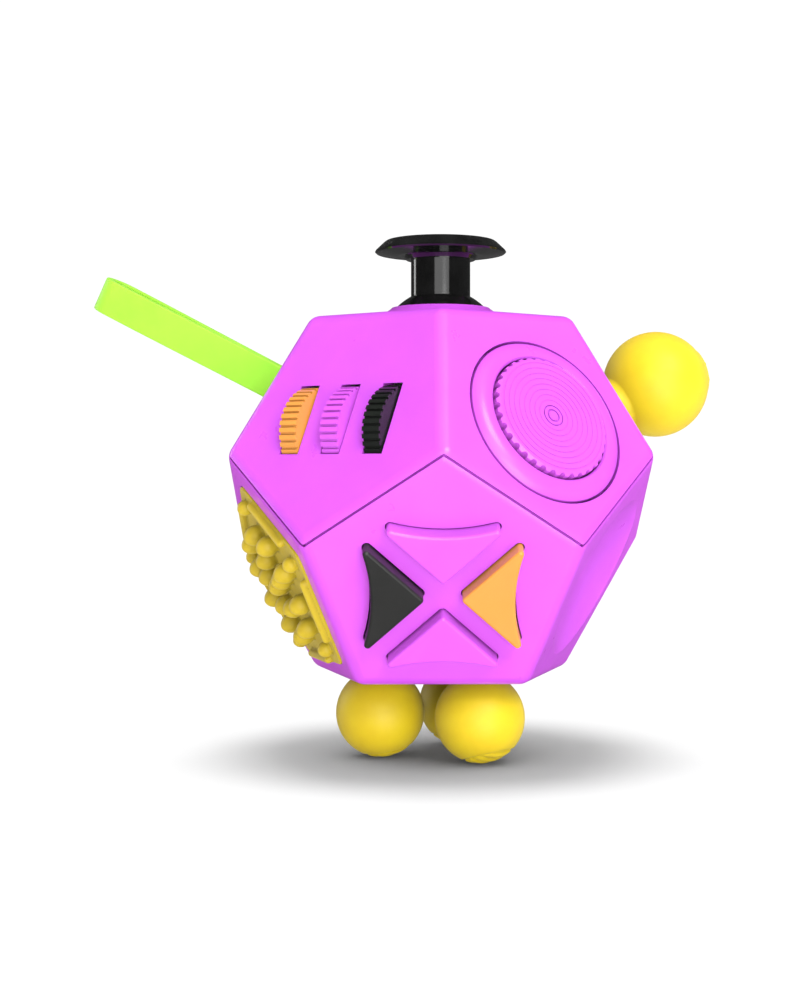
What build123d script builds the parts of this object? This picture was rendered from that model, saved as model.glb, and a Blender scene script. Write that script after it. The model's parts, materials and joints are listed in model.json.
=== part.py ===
from build123d import *
from math import atan, cos, degrees, radians, sin, sqrt, tan
import os

# A twelve-sided fidget toy. Units are millimetres, +Z is up and -Y is the front.
# The origin lies on the desk, straight under the middle of the body.
# Every face of the body carries one pastime, and each of those modules is drawn
# in its own face's plane: x runs level, y runs up the slope and z runs outward,
# so a negative z is a depth below the face.

# ---------------------------------------------------------------- driving sizes
edge_length = 23.0
wall = 2.0
edge_round = 2.2
running_gap = 0.05
loose_gap = 0.2

foot_ball_radius = 6.4
foot_ball_rise = 5.7
foot_ball_circle = 8.85
foot_ball_turn = -82.0

# How far each module sits from the middle of its face.
gear_drop = 0.95
dial_shift = (0.25, -1.25)
ball_drop = 0.4
strap_rise = 3.5
button_drop = 1.2
pad_drop = 0.5

# ------------------------------------------------- the regular twelve-sided body
inradius = edge_length / 2 * sqrt((25 + 11 * sqrt(5)) / 10)
face_circumradius = edge_length / (2 * sin(radians(36)))
face_tilt = degrees(atan(0.5))
body_centre = Vector(0, 0, foot_ball_radius + foot_ball_rise + inradius)

top = (0, 90)
bottom = (0, -90)
upper_sides = [(azimuth, face_tilt) for azimuth in (-108, -36, 36, 108, 180)]
lower_sides = [(azimuth, -face_tilt) for azimuth in (-144, -72, 0, 72, 144)]


def face_plane(direction, distance=inradius):
    """The plane of the face that looks toward an azimuth and elevation."""
    around = radians(direction[0])
    up = radians(direction[1])
    outward = Vector(sin(around) * cos(up), -cos(around) * cos(up), sin(up))
    level = Vector(cos(around), sin(around), 0)
    return Plane(origin=body_centre + outward * distance, x_dir=level, z_dir=outward)


def shifted(plane, x, y, z=0):
    """The same plane with its origin moved within its own axes."""
    return Plane(
        origin=plane.from_local_coords(Vector(x, y, z)),
        x_dir=plane.x_dir,
        z_dir=plane.z_dir,
    )


def profile_of(plane):
    """A plane through the plane's axis: its x stays, and its y runs outward."""
    return Plane(origin=plane.origin, x_dir=plane.x_dir, z_dir=-plane.y_dir)


def side_of(plane):
    """A plane across the plane's x axis: its x runs up the slope, its y outward."""
    return Plane(origin=plane.origin, x_dir=plane.y_dir, z_dir=plane.x_dir)


def axis_of(plane):
    """The line through the plane's origin, square to it."""
    return Axis(plane.origin, plane.z_dir)


def pentagon_radius(depth, margin):
    """Corner radius of a face's own pentagon at a depth, kept in by a margin."""
    return face_circumradius * (1 - depth / inradius) - margin / cos(radians(36))


joystick_face = face_plane(top)
gear_face = shifted(face_plane((-36, face_tilt)), 0, -gear_drop)
dial_face = shifted(face_plane((36, face_tilt)), *dial_shift)
ball_face = shifted(face_plane((108, face_tilt)), 0, -ball_drop)
strap_face = shifted(face_plane((-108, face_tilt)), 0, strap_rise)
rocker_face = face_plane((180, face_tilt))
button_face = shifted(face_plane((0, -face_tilt)), 0, -button_drop)
pad_face = shifted(face_plane((-72, -face_tilt)), 0, -pad_drop)
dish_face = face_plane((72, -face_tilt))
slider_face = face_plane((-144, -face_tilt))
clicker_face = face_plane((144, -face_tilt))
spinner_face = face_plane(bottom)

# ----------------------------------------------------------------- shared blocks
block_size = 4 * inradius


def twelve_sided_block(distance):
    """A solid with its twelve flat faces at a distance from the body's centre."""
    with BuildPart() as block:
        with Locations(body_centre):
            Box(block_size, block_size, block_size)
        for direction in [top, bottom] + upper_sides + lower_sides:
            split(bisect_by=face_plane(direction, distance), keep=Keep.BOTTOM)
    return block.part


def half_zone(directions, corner_angle, rise):
    """The cones of space behind some faces, joined, and raised by a little."""
    reach = 1.3
    with BuildPart() as zone:
        for direction in directions:
            angle = -90 if direction in (top, bottom) else corner_angle
            base = face_plane(direction, reach * inradius)
            with BuildSketch(base, mode=Mode.PRIVATE) as pentagon:
                RegularPolygon(reach * face_circumradius, 5, rotation=angle)
            loft(sections=[pentagon.sketch, Vertex(*body_centre)])
    return zone.part.moved(Location((0, 0, rise)))


with BuildPart() as outer_block:
    add(twelve_sided_block(inradius))
    fillet(outer_block.edges(), edge_round)

inner_block = twelve_sided_block(inradius - wall)
seam_rise = -0.3
seam_half_width = 0.2
seam_depth = 0.8
upper_zone = half_zone([top] + upper_sides, -90, seam_rise)
lower_zone = half_zone([bottom] + lower_sides, 90, seam_rise)
upper_edge_zone = half_zone([top] + upper_sides, -90, seam_rise + seam_half_width)
lower_edge_zone = half_zone([bottom] + lower_sides, 90, seam_rise - seam_half_width)

with BuildPart() as seam_groove:
    add(twelve_sided_block(inradius + 1))
    add(twelve_sided_block(inradius - seam_depth), mode=Mode.SUBTRACT)
    add(upper_edge_zone, mode=Mode.SUBTRACT)
    add(lower_edge_zone, mode=Mode.SUBTRACT)

# ------------------------------------------------------------- joystick (top)
pivot_depth = 4.6
dome_radius = 9.0
dome_shell = 1.2
dome_skirt_rise = 2.5
seat_radius = 9.2
collar_height = 1.6
collar_base_radius = 9.4
collar_top_radius = 7.3
stem_radius = 4.3
stem_top = 8.6
cap_radius = 9.52
cap_rim_height = 9.55
cap_top_height = 11.3
cap_flat_radius = 7.9
stick_core_radius = 2.2
hub_radius = 2.6
hub_flange_radius = 3.0
hub_flange_depth = 7.5
cross_pin_radius = 0.9
yoke_inner_radius = 3.4
yoke_outer_radius = 5.3
yoke_half_height = 1.1
trunnion_radius = 1.0
trunnion_reach = 7.0
housing_inner_radius = 9.4
housing_wall = 1.3
housing_floor_depth = 9.2
housing_base_depth = 10.4
housing_base_radius = 8.8
housing_taper_depth = 6.4
tie_boss_radius = 3.2
tie_boss_depth = 12.8
tie_screw_radius = 1.5
ear_ring_radius = 12.6
ear_radius = 2.0
ear_top_depth = 3.6
ear_thickness = 1.4
small_screw_radius = 0.8
small_head_radius = 1.5
small_head_height = 1.0
skin_left = 0.8

pivot_plane = joystick_face.offset(-pivot_depth)
ear_angles = (-90, 54, 126)


def ear_places():
    """Where the three screws of the joystick housing stand in the top face."""
    return [
        (ear_ring_radius * cos(radians(a)), ear_ring_radius * sin(radians(a)))
        for a in ear_angles
    ]


def small_screws(plane, places, head_depth, length):
    """Pan-head screws that point outward, their heads under the given depth."""
    with BuildPart() as screws:
        with BuildSketch(plane.offset(-head_depth - small_head_height)):
            with Locations(*places):
                Circle(small_head_radius)
        extrude(amount=small_head_height)
        with BuildSketch(plane.offset(-head_depth)):
            with Locations(*places):
                Circle(small_screw_radius)
        extrude(amount=length)
        with BuildSketch(plane.offset(-head_depth - small_head_height)):
            with Locations(*places):
                Rectangle(1.9, 0.45)
                Rectangle(0.45, 1.9)
        extrude(amount=0.5, mode=Mode.SUBTRACT)
    return screws.part


with BuildPart() as joystick_housing:
    with BuildSketch(profile_of(joystick_face)):
        with BuildLine():
            Polyline(
                (0, -housing_floor_depth),
                (housing_inner_radius - housing_wall, -housing_floor_depth),
                (housing_inner_radius, -housing_taper_depth),
                (housing_inner_radius, -wall),
                (housing_inner_radius + housing_wall, -wall),
                (housing_inner_radius + housing_wall, -housing_taper_depth),
                (housing_base_radius, -housing_base_depth),
                (tie_boss_radius, -housing_base_depth),
                (tie_boss_radius, -tie_boss_depth),
                (0, -tie_boss_depth),
                close=True,
            )
        make_face()
    revolve(axis=axis_of(joystick_face))
    with BuildSketch(joystick_face.offset(-ear_top_depth - ear_thickness)):
        Circle(housing_inner_radius + housing_wall + 0.6)
        with Locations(*ear_places()):
            Circle(ear_radius)
        Circle(housing_inner_radius, mode=Mode.SUBTRACT)
    extrude(amount=ear_thickness)
    with BuildSketch(joystick_face.offset(-ear_top_depth - ear_thickness)):
        with Locations(*ear_places()):
            Circle(small_screw_radius)
    extrude(amount=ear_thickness, mode=Mode.SUBTRACT)
    lug_length = 1.2
    lug_width = 3.4
    lug_top = pivot_depth - 1.6
    with BuildSketch(joystick_face.offset(-housing_base_depth)):
        with GridLocations(2 * (trunnion_reach - lug_length / 2), 0, 2, 1):
            Rectangle(lug_length, lug_width)
    extrude(amount=housing_base_depth - lug_top)
    with BuildSketch(side_of(pivot_plane)):
        Circle(trunnion_radius + running_gap)
    extrude(amount=trunnion_reach, both=True, mode=Mode.SUBTRACT)
    with BuildSketch(joystick_face.offset(-tie_boss_depth)):
        Circle(tie_screw_radius)
    extrude(amount=3.0, mode=Mode.SUBTRACT)
joystick_housing.part.label = "joystick_housing"
export_step(joystick_housing.part, "parts/joystick_housing.step")

with BuildPart() as joystick_screws:
    add(small_screws(joystick_face, ear_places(), ear_top_depth + ear_thickness, 4.2))
joystick_screws.part.label = "joystick_screws"
export_step(joystick_screws.part, "parts/joystick_screws.step")

with BuildPart() as joystick_yoke:
    with BuildSketch(pivot_plane.offset(-yoke_half_height)):
        Circle(yoke_outer_radius)
        Circle(yoke_inner_radius, mode=Mode.SUBTRACT)
    extrude(amount=2 * yoke_half_height)
    with BuildSketch(side_of(pivot_plane).offset(yoke_outer_radius - 0.5)):
        Circle(trunnion_radius)
    extrude(amount=trunnion_reach - yoke_outer_radius + 0.5)
    with BuildSketch(side_of(pivot_plane).offset(0.5 - yoke_outer_radius)):
        Circle(trunnion_radius)
    extrude(amount=yoke_outer_radius - 0.5 - trunnion_reach)
    with BuildSketch(profile_of(pivot_plane)):
        Circle(cross_pin_radius + running_gap)
    extrude(amount=yoke_outer_radius, both=True, mode=Mode.SUBTRACT)
joystick_yoke.part.label = "joystick_yoke"
export_step(joystick_yoke.part, "parts/joystick_yoke.step")

# The stick is a domed shell with a stem above it and a hub at its centre.
skirt_radius = sqrt(dome_radius**2 - dome_skirt_rise**2)
inner_dome_radius = dome_radius - dome_shell
inner_skirt_radius = sqrt(inner_dome_radius**2 - dome_skirt_rise**2)
stem_foot = sqrt(dome_radius**2 - stem_radius**2)
core_top = sqrt(inner_dome_radius**2 - stick_core_radius**2)
stem_end = stem_top + pivot_depth
spigot_radius = 2.4
spigot_height = 1.6
with BuildPart() as joystick_stick:
    with BuildSketch(profile_of(pivot_plane)):
        with BuildLine():
            Line((0, stem_end + spigot_height), (spigot_radius, stem_end + spigot_height))
            Line((spigot_radius, stem_end + spigot_height), (spigot_radius, stem_end))
            Line((spigot_radius, stem_end), (stem_radius, stem_end))
            Line((stem_radius, stem_end), (stem_radius, stem_foot))
            RadiusArc((stem_radius, stem_foot), (skirt_radius, dome_skirt_rise), dome_radius)
            Line((skirt_radius, dome_skirt_rise), (inner_skirt_radius, dome_skirt_rise))
            RadiusArc(
                (inner_skirt_radius, dome_skirt_rise),
                (stick_core_radius, core_top),
                -inner_dome_radius,
            )
            Line((stick_core_radius, core_top), (stick_core_radius, 0))
            Line((stick_core_radius, 0), (stick_core_radius, pivot_depth - hub_flange_depth + 0.8))
            Line(
                (stick_core_radius, pivot_depth - hub_flange_depth + 0.8),
                (hub_flange_radius, pivot_depth - hub_flange_depth + 0.8),
            )
            Line(
                (hub_flange_radius, pivot_depth - hub_flange_depth + 0.8),
                (hub_flange_radius, pivot_depth - hub_flange_depth),
            )
            Line(
                (hub_flange_radius, pivot_depth - hub_flange_depth),
                (0, pivot_depth - hub_flange_depth),
            )
            Line((0, pivot_depth - hub_flange_depth), (0, stem_end + spigot_height))
        make_face()
    revolve(axis=axis_of(pivot_plane))
    with Locations(pivot_plane):
        Sphere(hub_radius)
    with BuildSketch(profile_of(pivot_plane)):
        Circle(cross_pin_radius)
    extrude(amount=hub_radius, both=True, mode=Mode.SUBTRACT)
joystick_stick.part.label = "joystick_stick"
export_step(joystick_stick.part, "parts/joystick_stick.step")

with BuildPart() as joystick_pin:
    with BuildSketch(profile_of(pivot_plane)):
        Circle(cross_pin_radius)
    extrude(amount=yoke_outer_radius - 0.1, both=True)
joystick_pin.part.label = "joystick_pin"
export_step(joystick_pin.part, "parts/joystick_pin.step")

# The thumb cap is widest at its thin rim, and its top is a very shallow dish.
cap_dish_depth = 0.35
cap_notch_width = 1.6
cap_notch_length = 1.7
cap_notch_turn = 34.3
with BuildPart() as joystick_cap:
    with BuildSketch(profile_of(joystick_face)):
        with BuildLine():
            Polyline(
                (0, stem_top + spigot_height),
                (spigot_radius, stem_top + spigot_height),
                (spigot_radius, stem_top),
                (stem_radius + 0.7, stem_top),
                (stem_radius + 1.1, stem_top + 0.5),
                (stem_radius + 2.1, stem_top + 0.5),
                (cap_radius - 0.2, cap_rim_height),
                (cap_radius, cap_rim_height + 0.2),
                (cap_radius - 0.15, cap_rim_height + 0.45),
                (cap_flat_radius + 0.3, cap_top_height - 0.2),
                (cap_flat_radius, cap_top_height),
                (0, cap_top_height - cap_dish_depth),
                close=True,
            )
        make_face()
    revolve(axis=axis_of(joystick_face))
    with BuildSketch(joystick_face.offset(cap_rim_height + 0.7)):
        with PolarLocations(cap_radius, 4, start_angle=cap_notch_turn):
            Rectangle(cap_notch_length, cap_notch_width)
    extrude(amount=cap_top_height - cap_rim_height, mode=Mode.SUBTRACT)
joystick_cap.part.label = "joystick_cap"
export_step(joystick_cap.part, "parts/joystick_cap.step")

stick_wire = 0.25
stick_coil_radius = 2.4


def coil_spring(seat, room, radius, wire, turns):
    """A round-wire spring that stands on a seat and fills the room above it."""
    end_gap = 0.05
    height = room - 2 * (wire + end_gap)
    with BuildPart() as spring:
        with BuildLine() as coil:
            Helix(height / turns, height, radius)
        with BuildSketch(Plane(origin=coil.line @ 0, z_dir=coil.line % 0)):
            Circle(wire)
        sweep(path=coil.line)
    return spring.part.moved(seat.offset(wire + end_gap).location)


with BuildPart() as joystick_spring:
    seat = joystick_face.offset(-housing_floor_depth)
    room = housing_floor_depth - hub_flange_depth
    add(coil_spring(seat, room, stick_coil_radius, stick_wire, 2))
joystick_spring.part.label = "joystick_spring"
export_step(joystick_spring.part, "parts/joystick_spring.step")

# ------------------------------------------------- thumb gears (upper front left)
gear_radius = 6.4
gear_proud = 2.2
gear_width = 2.8
gear_spacing = 7.1
gear_teeth = 40
tooth_groove = 0.4
tooth_depth = 0.3
gear_hub_radius = 2.0
gear_hub_half = 2.1
gear_side_gap = 0.1
axle_radius = 1.0
slot_width = 3.3
slot_end_gap = 0.35
rail_height = 3.2
rail_end_thickness = 1.2
axle_depth = gear_radius - gear_proud
rail_top_depth = axle_depth - rail_height / 2
rail_base_depth = axle_depth + rail_height / 2
rail_half_length = gear_spacing + gear_hub_half + gear_side_gap + rail_end_thickness
axle_plane = gear_face.offset(-axle_depth)
gear_screw_places = [(gear_spacing / 2, 6.4), (-gear_spacing / 2, -6.4)]


def thumb_gear(step):
    """One toothed wheel on the axle, a number of spacings from the middle one."""
    middle = side_of(axle_plane).offset(step * gear_spacing)
    with BuildPart() as gear:
        with BuildSketch(middle.offset(-gear_width / 2)):
            Circle(gear_radius)
            with PolarLocations(gear_radius, gear_teeth):
                Rectangle(2 * tooth_depth, tooth_groove, mode=Mode.SUBTRACT)
        extrude(amount=gear_width)
        with BuildSketch(middle.offset(-gear_hub_half)):
            Circle(gear_hub_radius)
        extrude(amount=2 * gear_hub_half)
        with BuildSketch(middle.offset(-gear_hub_half)):
            Circle(axle_radius + running_gap)
        extrude(amount=2 * gear_hub_half, mode=Mode.SUBTRACT)
    return gear.part


with BuildPart() as orange_gear:
    add(thumb_gear(-1))
orange_gear.part.label = "orange_gear"
export_step(orange_gear.part, "parts/orange_gear.step")

with BuildPart() as pink_gear:
    add(thumb_gear(0))
pink_gear.part.label = "pink_gear"
export_step(pink_gear.part, "parts/pink_gear.step")

with BuildPart() as black_gear:
    add(thumb_gear(1))
black_gear.part.label = "black_gear"
export_step(black_gear.part, "parts/black_gear.step")

with BuildPart() as gear_axle:
    with BuildSketch(side_of(axle_plane)):
        Circle(axle_radius)
    extrude(amount=rail_half_length, both=True)
gear_axle.part.label = "gear_axle"
export_step(gear_axle.part, "parts/gear_axle.step")

well_half = gear_radius + 0.5
well_width = 2 * (gear_hub_half + gear_side_gap)
face_middle = shifted(gear_face, 0, gear_drop)
with BuildPart() as gear_bracket:
    with BuildSketch(face_middle.offset(-rail_base_depth)):
        RegularPolygon(pentagon_radius(rail_base_depth, 0.3), 5, rotation=-90)
        with Locations((0, -gear_drop)):
            Rectangle(2 * rail_half_length, 2 * (well_half + 2.2), mode=Mode.INTERSECT)
            with GridLocations(gear_spacing, 0, 3, 1):
                Rectangle(well_width, 2 * well_half, mode=Mode.SUBTRACT)
    extrude(amount=rail_height)
    with BuildSketch(side_of(axle_plane)):
        Circle(axle_radius)
    extrude(amount=rail_half_length, both=True, mode=Mode.SUBTRACT)
    with BuildSketch(gear_face.offset(-rail_base_depth)):
        with Locations(*gear_screw_places):
            Circle(small_screw_radius)
    extrude(amount=rail_height, mode=Mode.SUBTRACT)
gear_bracket.part.label = "gear_bracket"
export_step(gear_bracket.part, "parts/gear_bracket.step")

with BuildPart() as gear_screws:
    add(small_screws(gear_face, gear_screw_places, rail_base_depth, rail_base_depth - 1))
gear_screws.part.label = "gear_screws"
export_step(gear_screws.part, "parts/gear_screws.step")

# ---------------------------------------------------- dial (upper front right)
bezel_radius = 11.95
bezel_gap = 0.4
bezel_seat_depth = 1.6
bezel_crown = 1.0
bezel_mouth_radius = 9.2
dial_radius = 8.95
dial_height = 1.6
dial_edge = 0.45
dial_scallops = 36
dial_scallop_radius = 0.5
dial_under_depth = 2.6
cup_radius = 10.7
cup_floor_depth = 2.8
cup_base_depth = 4.2
dial_shaft_radius = 2.5
dial_washer_radius = 4.4
dial_washer_thickness = 1.0
dial_centre_rings = [(0.85, 0.3), (1.5, 0.2)]
dial_centre_ring_depth = 0.25
dial_first_ring = 2.3
dial_ring_pitch = 0.82
dial_ring_width = 0.2
dial_ring_count = 8
dial_ring_depth = 0.08
shaft_end_depth = cup_base_depth + 0.2
bezel_ring_radius = 12.6
bezel_ring_depth = 3.0

with BuildPart() as dial_bezel:
    with BuildSketch(profile_of(dial_face)):
        with BuildLine():
            Polyline(
                (dial_shaft_radius + running_gap, -cup_floor_depth),
                (bezel_mouth_radius, -cup_floor_depth),
                (bezel_mouth_radius, bezel_crown - 0.25),
                (bezel_mouth_radius + 0.25, bezel_crown),
            )
            ThreePointArc(
                (bezel_mouth_radius + 0.25, bezel_crown),
                (bezel_mouth_radius + 1.7, 0.85 * bezel_crown),
                (bezel_radius, 0),
            )
            Polyline(
                (bezel_radius, 0),
                (bezel_radius, -bezel_seat_depth),
                (cup_radius, -bezel_seat_depth),
                (cup_radius, -cup_base_depth),
                (dial_shaft_radius + running_gap, -cup_base_depth),
                (dial_shaft_radius + running_gap, -cup_floor_depth),
            )
        make_face()
    revolve(axis=axis_of(dial_face))
dial_bezel.part.label = "dial_bezel"
export_step(dial_bezel.part, "parts/dial_bezel.step")

with BuildPart() as dial_disc:
    with BuildSketch(dial_face.offset(-dial_under_depth)):
        Circle(dial_radius)
        with PolarLocations(dial_radius + 0.15, dial_scallops):
            Circle(dial_scallop_radius, mode=Mode.SUBTRACT)
    extrude(amount=dial_height + dial_under_depth)
    with BuildSketch(profile_of(dial_face)):
        with BuildLine():
            Polyline(
                (dial_radius + 0.1, dial_height + 0.1),
                (dial_radius - dial_edge, dial_height + 0.1),
                (dial_radius - dial_edge, dial_height),
                (dial_radius + 0.1, dial_height - dial_edge),
                close=True,
            )
        make_face()
    revolve(axis=axis_of(dial_face), mode=Mode.SUBTRACT)
    with BuildSketch(dial_face.offset(dial_height)):
        for ring in reversed(range(dial_ring_count)):
            radius = dial_first_ring + ring * dial_ring_pitch
            Circle(radius + dial_ring_width / 2)
            Circle(radius - dial_ring_width / 2, mode=Mode.SUBTRACT)
    extrude(amount=-dial_ring_depth, mode=Mode.SUBTRACT)
    with BuildSketch(dial_face.offset(dial_height)):
        for radius, width in reversed(dial_centre_rings):
            Circle(radius + width / 2)
            Circle(radius - width / 2, mode=Mode.SUBTRACT)
    extrude(amount=-dial_centre_ring_depth, mode=Mode.SUBTRACT)
    with BuildSketch(dial_face.offset(-shaft_end_depth)):
        Circle(dial_shaft_radius)
    extrude(amount=shaft_end_depth - dial_under_depth)
    with BuildSketch(dial_face.offset(-shaft_end_depth)):
        Circle(small_screw_radius)
    extrude(amount=4, mode=Mode.SUBTRACT)
dial_disc.part.label = "dial_disc"
export_step(dial_disc.part, "parts/dial_disc.step")

with BuildPart() as dial_washer:
    with BuildSketch(dial_face.offset(-shaft_end_depth - dial_washer_thickness)):
        Circle(dial_washer_radius)
        Circle(small_screw_radius, mode=Mode.SUBTRACT)
    extrude(amount=dial_washer_thickness)
dial_washer.part.label = "dial_washer"
export_step(dial_washer.part, "parts/dial_washer.step")

with BuildPart() as dial_screw:
    add(small_screws(dial_face, [(0, 0)], shaft_end_depth + dial_washer_thickness, 4.6))
dial_screw.part.label = "dial_screw"
export_step(dial_screw.part, "parts/dial_screw.step")

# -------------------------------------------------- four buttons (lower front)
button_apex = 2.37
button_reach = 11.1
button_hollow = 1.57
button_corner = 0.5
button_height = 2.3
button_top_round = 0.4
button_travel = 0.9
button_gap = 0.18
flange_extra = 0.6
flange_top_depth = wall + 0.1
flange_base_depth = flange_top_depth + 1.0
membrane_top_depth = flange_base_depth + button_travel + 0.4
membrane_thickness = 0.6
dome_top_depth = flange_base_depth + 0.06
dome_place = 7.4
backplate_thickness = 1.2
backplate_top_depth = membrane_top_depth + membrane_thickness
button_post_radius = 1.6
button_post_places = [(0, 0), (0, 13.2)]


def button_outline(grow):
    """A triangle that points at the module's middle, its outer side bowed in."""
    half_side = button_reach - button_apex
    with BuildSketch(mode=Mode.PRIVATE) as outline:
        with BuildLine():
            Line((button_apex, 0), (button_reach, half_side))
            ThreePointArc(
                (button_reach, half_side),
                (button_reach - button_hollow, 0),
                (button_reach, -half_side),
            )
            Line((button_reach, -half_side), (button_apex, 0))
        make_face()
        fillet(outline.vertices(), button_corner)
        if grow:
            offset(amount=grow)
    return outline.sketch


def corner_button(angle):
    """A button with a rounded top and a flange that keeps it inside the casing."""
    with BuildPart() as button:
        with BuildSketch(button_face.offset(-flange_base_depth)):
            add(button_outline(0), rotation=angle)
        extrude(amount=flange_base_depth + button_height)
        crown = button.faces().sort_by(axis_of(button_face))[-1]
        fillet(crown.edges(), button_top_round)
        with BuildSketch(button_face.offset(-flange_base_depth)):
            add(button_outline(flange_extra), rotation=angle)
        extrude(amount=flange_base_depth - flange_top_depth)
    return button.part


with BuildPart() as right_button:
    add(corner_button(0))
right_button.part.label = "right_button"
export_step(right_button.part, "parts/right_button.step")

with BuildPart() as upper_button:
    add(corner_button(90))
upper_button.part.label = "upper_button"
export_step(upper_button.part, "parts/upper_button.step")

with BuildPart() as left_button:
    add(corner_button(180))
left_button.part.label = "left_button"
export_step(left_button.part, "parts/left_button.step")

with BuildPart() as lower_button:
    add(corner_button(270))
lower_button.part.label = "lower_button"
export_step(lower_button.part, "parts/lower_button.step")

button_middle = shifted(button_face, 0, button_drop)
with BuildPart() as button_membrane:
    with BuildSketch(button_middle.offset(-backplate_top_depth)):
        RegularPolygon(pentagon_radius(backplate_top_depth, 0.6), 5, rotation=90)
    extrude(amount=membrane_thickness)
    for angle in range(0, 360, 90):
        spot = shifted(
            button_face,
            dome_place * cos(radians(angle)),
            dome_place * sin(radians(angle)),
            -membrane_top_depth,
        )
        with Locations(spot):
            Cone(
                2.6,
                1.5,
                membrane_top_depth - dome_top_depth,
                align=(Align.CENTER, Align.CENTER, Align.MIN),
            )
            Cone(
                2.1,
                1.0,
                membrane_top_depth - dome_top_depth - 0.4,
                align=(Align.CENTER, Align.CENTER, Align.MIN),
                mode=Mode.SUBTRACT,
            )
    with BuildSketch(button_face.offset(-backplate_top_depth)):
        with Locations(*button_post_places):
            Circle(button_post_radius + loose_gap)
    extrude(amount=membrane_thickness, mode=Mode.SUBTRACT)
button_membrane.part.label = "button_membrane"
export_step(button_membrane.part, "parts/button_membrane.step")

with BuildPart() as button_backplate:
    with BuildSketch(button_middle.offset(-backplate_top_depth - backplate_thickness)):
        RegularPolygon(
            pentagon_radius(backplate_top_depth + backplate_thickness, 0.3), 5, rotation=90
        )
    extrude(amount=backplate_thickness)
    with BuildSketch(button_face.offset(-backplate_top_depth - backplate_thickness)):
        with Locations(*button_post_places):
            Circle(small_screw_radius)
    extrude(amount=backplate_thickness, mode=Mode.SUBTRACT)
button_backplate.part.label = "button_backplate"
export_step(button_backplate.part, "parts/button_backplate.step")

with BuildPart() as button_screws:
    add(
        small_screws(
            button_face,
            button_post_places,
            backplate_top_depth + backplate_thickness,
            backplate_top_depth + backplate_thickness - 1,
        )
    )
button_screws.part.label = "button_screws"
export_step(button_screws.part, "parts/button_screws.step")

# ------------------------------------------- massage pad (lower front left side)
pad_inradius = 12.5
pad_corner = 2.0
pad_recess_depth = 1.0
pad_proud = 0.3
pad_peg_radius = 1.3
pad_peg_circle = 9.0
pad_peg_head_radius = 1.9
nub_radius = 1.5
nub_height = 3.1
nub_taper = 10
inner_nub_circle = 4.1
outer_nub_circle = 7.9
corner_nub_circle = 12.0
corner_nub_radius = 1.15
corner_nub_height = 2.1
bar_length = 10.3
bar_width = 1.2
bar_height = 1.0
bar_inradius = 11.7


def nubs(circle_radius, count, radius, height):
    """A ring of blunt cones that stand on the pad."""
    with BuildPart() as ring:
        with BuildSketch(pad_face):
            with PolarLocations(circle_radius, count, start_angle=90):
                Circle(radius)
        extrude(amount=height, taper=nub_taper)
    return ring.part


with BuildPart() as massage_pad:
    with BuildSketch(pad_face.offset(-pad_recess_depth)) as pad_base:
        RegularPolygon(pad_inradius / cos(radians(36)), 5, rotation=90)
        fillet(pad_base.vertices(), pad_corner)
    extrude(amount=pad_recess_depth + pad_proud)
    for k in range(5):
        side = Vector(bar_inradius, 0).rotate(Axis.Z, -90 + 72 * k)
        with BuildSketch(shifted(pad_face, side.X, side.Y)):
            SlotOverall(bar_length, bar_width, rotation=72 * k)
        extrude(amount=pad_proud + bar_height)
    add(nubs(0, 1, nub_radius, nub_height))
    add(nubs(inner_nub_circle, 5, nub_radius, nub_height))
    add(nubs(outer_nub_circle, 10, nub_radius, nub_height))
    add(nubs(corner_nub_circle, 5, corner_nub_radius, corner_nub_height))
    with BuildSketch(pad_face.offset(-wall)):
        with PolarLocations(pad_peg_circle, 5, start_angle=-90):
            Circle(pad_peg_radius)
    extrude(amount=wall - pad_recess_depth)
    with BuildSketch(pad_face.offset(-wall - 1.0)):
        with PolarLocations(pad_peg_circle, 5, start_angle=-90):
            Circle(pad_peg_head_radius)
    extrude(amount=1.0)
massage_pad.part.label = "massage_pad"
export_step(massage_pad.part, "parts/massage_pad.step")

# ------------------------------------------------ squeeze ball (upper right side)
squeeze_radius = 7.95
squeeze_rise = 12.7
neck_radius = 4.0
neck_flare_radius = 6.5
neck_flare_edge = 0.3
plug_head_radius = 5.6
plug_depth = 4.4
neck_meets_ball = squeeze_rise - sqrt(squeeze_radius**2 - neck_radius**2)

with BuildPart() as squeeze_ball:
    with BuildSketch(profile_of(ball_face)):
        with BuildLine():
            RadiusArc(
                (0, squeeze_rise + squeeze_radius),
                (squeeze_radius, squeeze_rise),
                squeeze_radius,
            )
            RadiusArc(
                (squeeze_radius, squeeze_rise),
                (neck_radius, neck_meets_ball),
                squeeze_radius,
            )
            Spline(
                (neck_radius, neck_meets_ball),
                (neck_radius + 0.25, 2.6),
                (neck_flare_radius, neck_flare_edge),
                tangents=[(-0.2, -1), (1, -0.35)],
            )
            Polyline(
                (neck_flare_radius, neck_flare_edge),
                (neck_flare_radius, 0),
                (neck_radius, 0),
                (neck_radius, -wall),
                (plug_head_radius, -wall),
                (plug_head_radius - 1.2, -plug_depth),
                (0, -plug_depth),
                (0, squeeze_rise + squeeze_radius),
            )
        make_face()
    revolve(axis=axis_of(ball_face))
squeeze_ball.part.label = "squeeze_ball"
export_step(squeeze_ball.part, "parts/squeeze_ball.step")

# -------------------------------------------------------- strap (upper left side)
strap_width = 5.2
strap_reach = 37.3
strap_end_radius = 3.0
strap_neck_half = 1.35
strap_band = 1.3
strap_pin_depth = 4.2
strap_pin_radius = 1.0
strap_eye_radius = 2.0
strap_window = 6.0
strap_lug_thickness = 1.4
strap_lug_width = 4.4
strap_lug_gap = 0.15
strap_loop_start = 8.0
strap_end_middle = strap_reach - strap_end_radius


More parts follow.
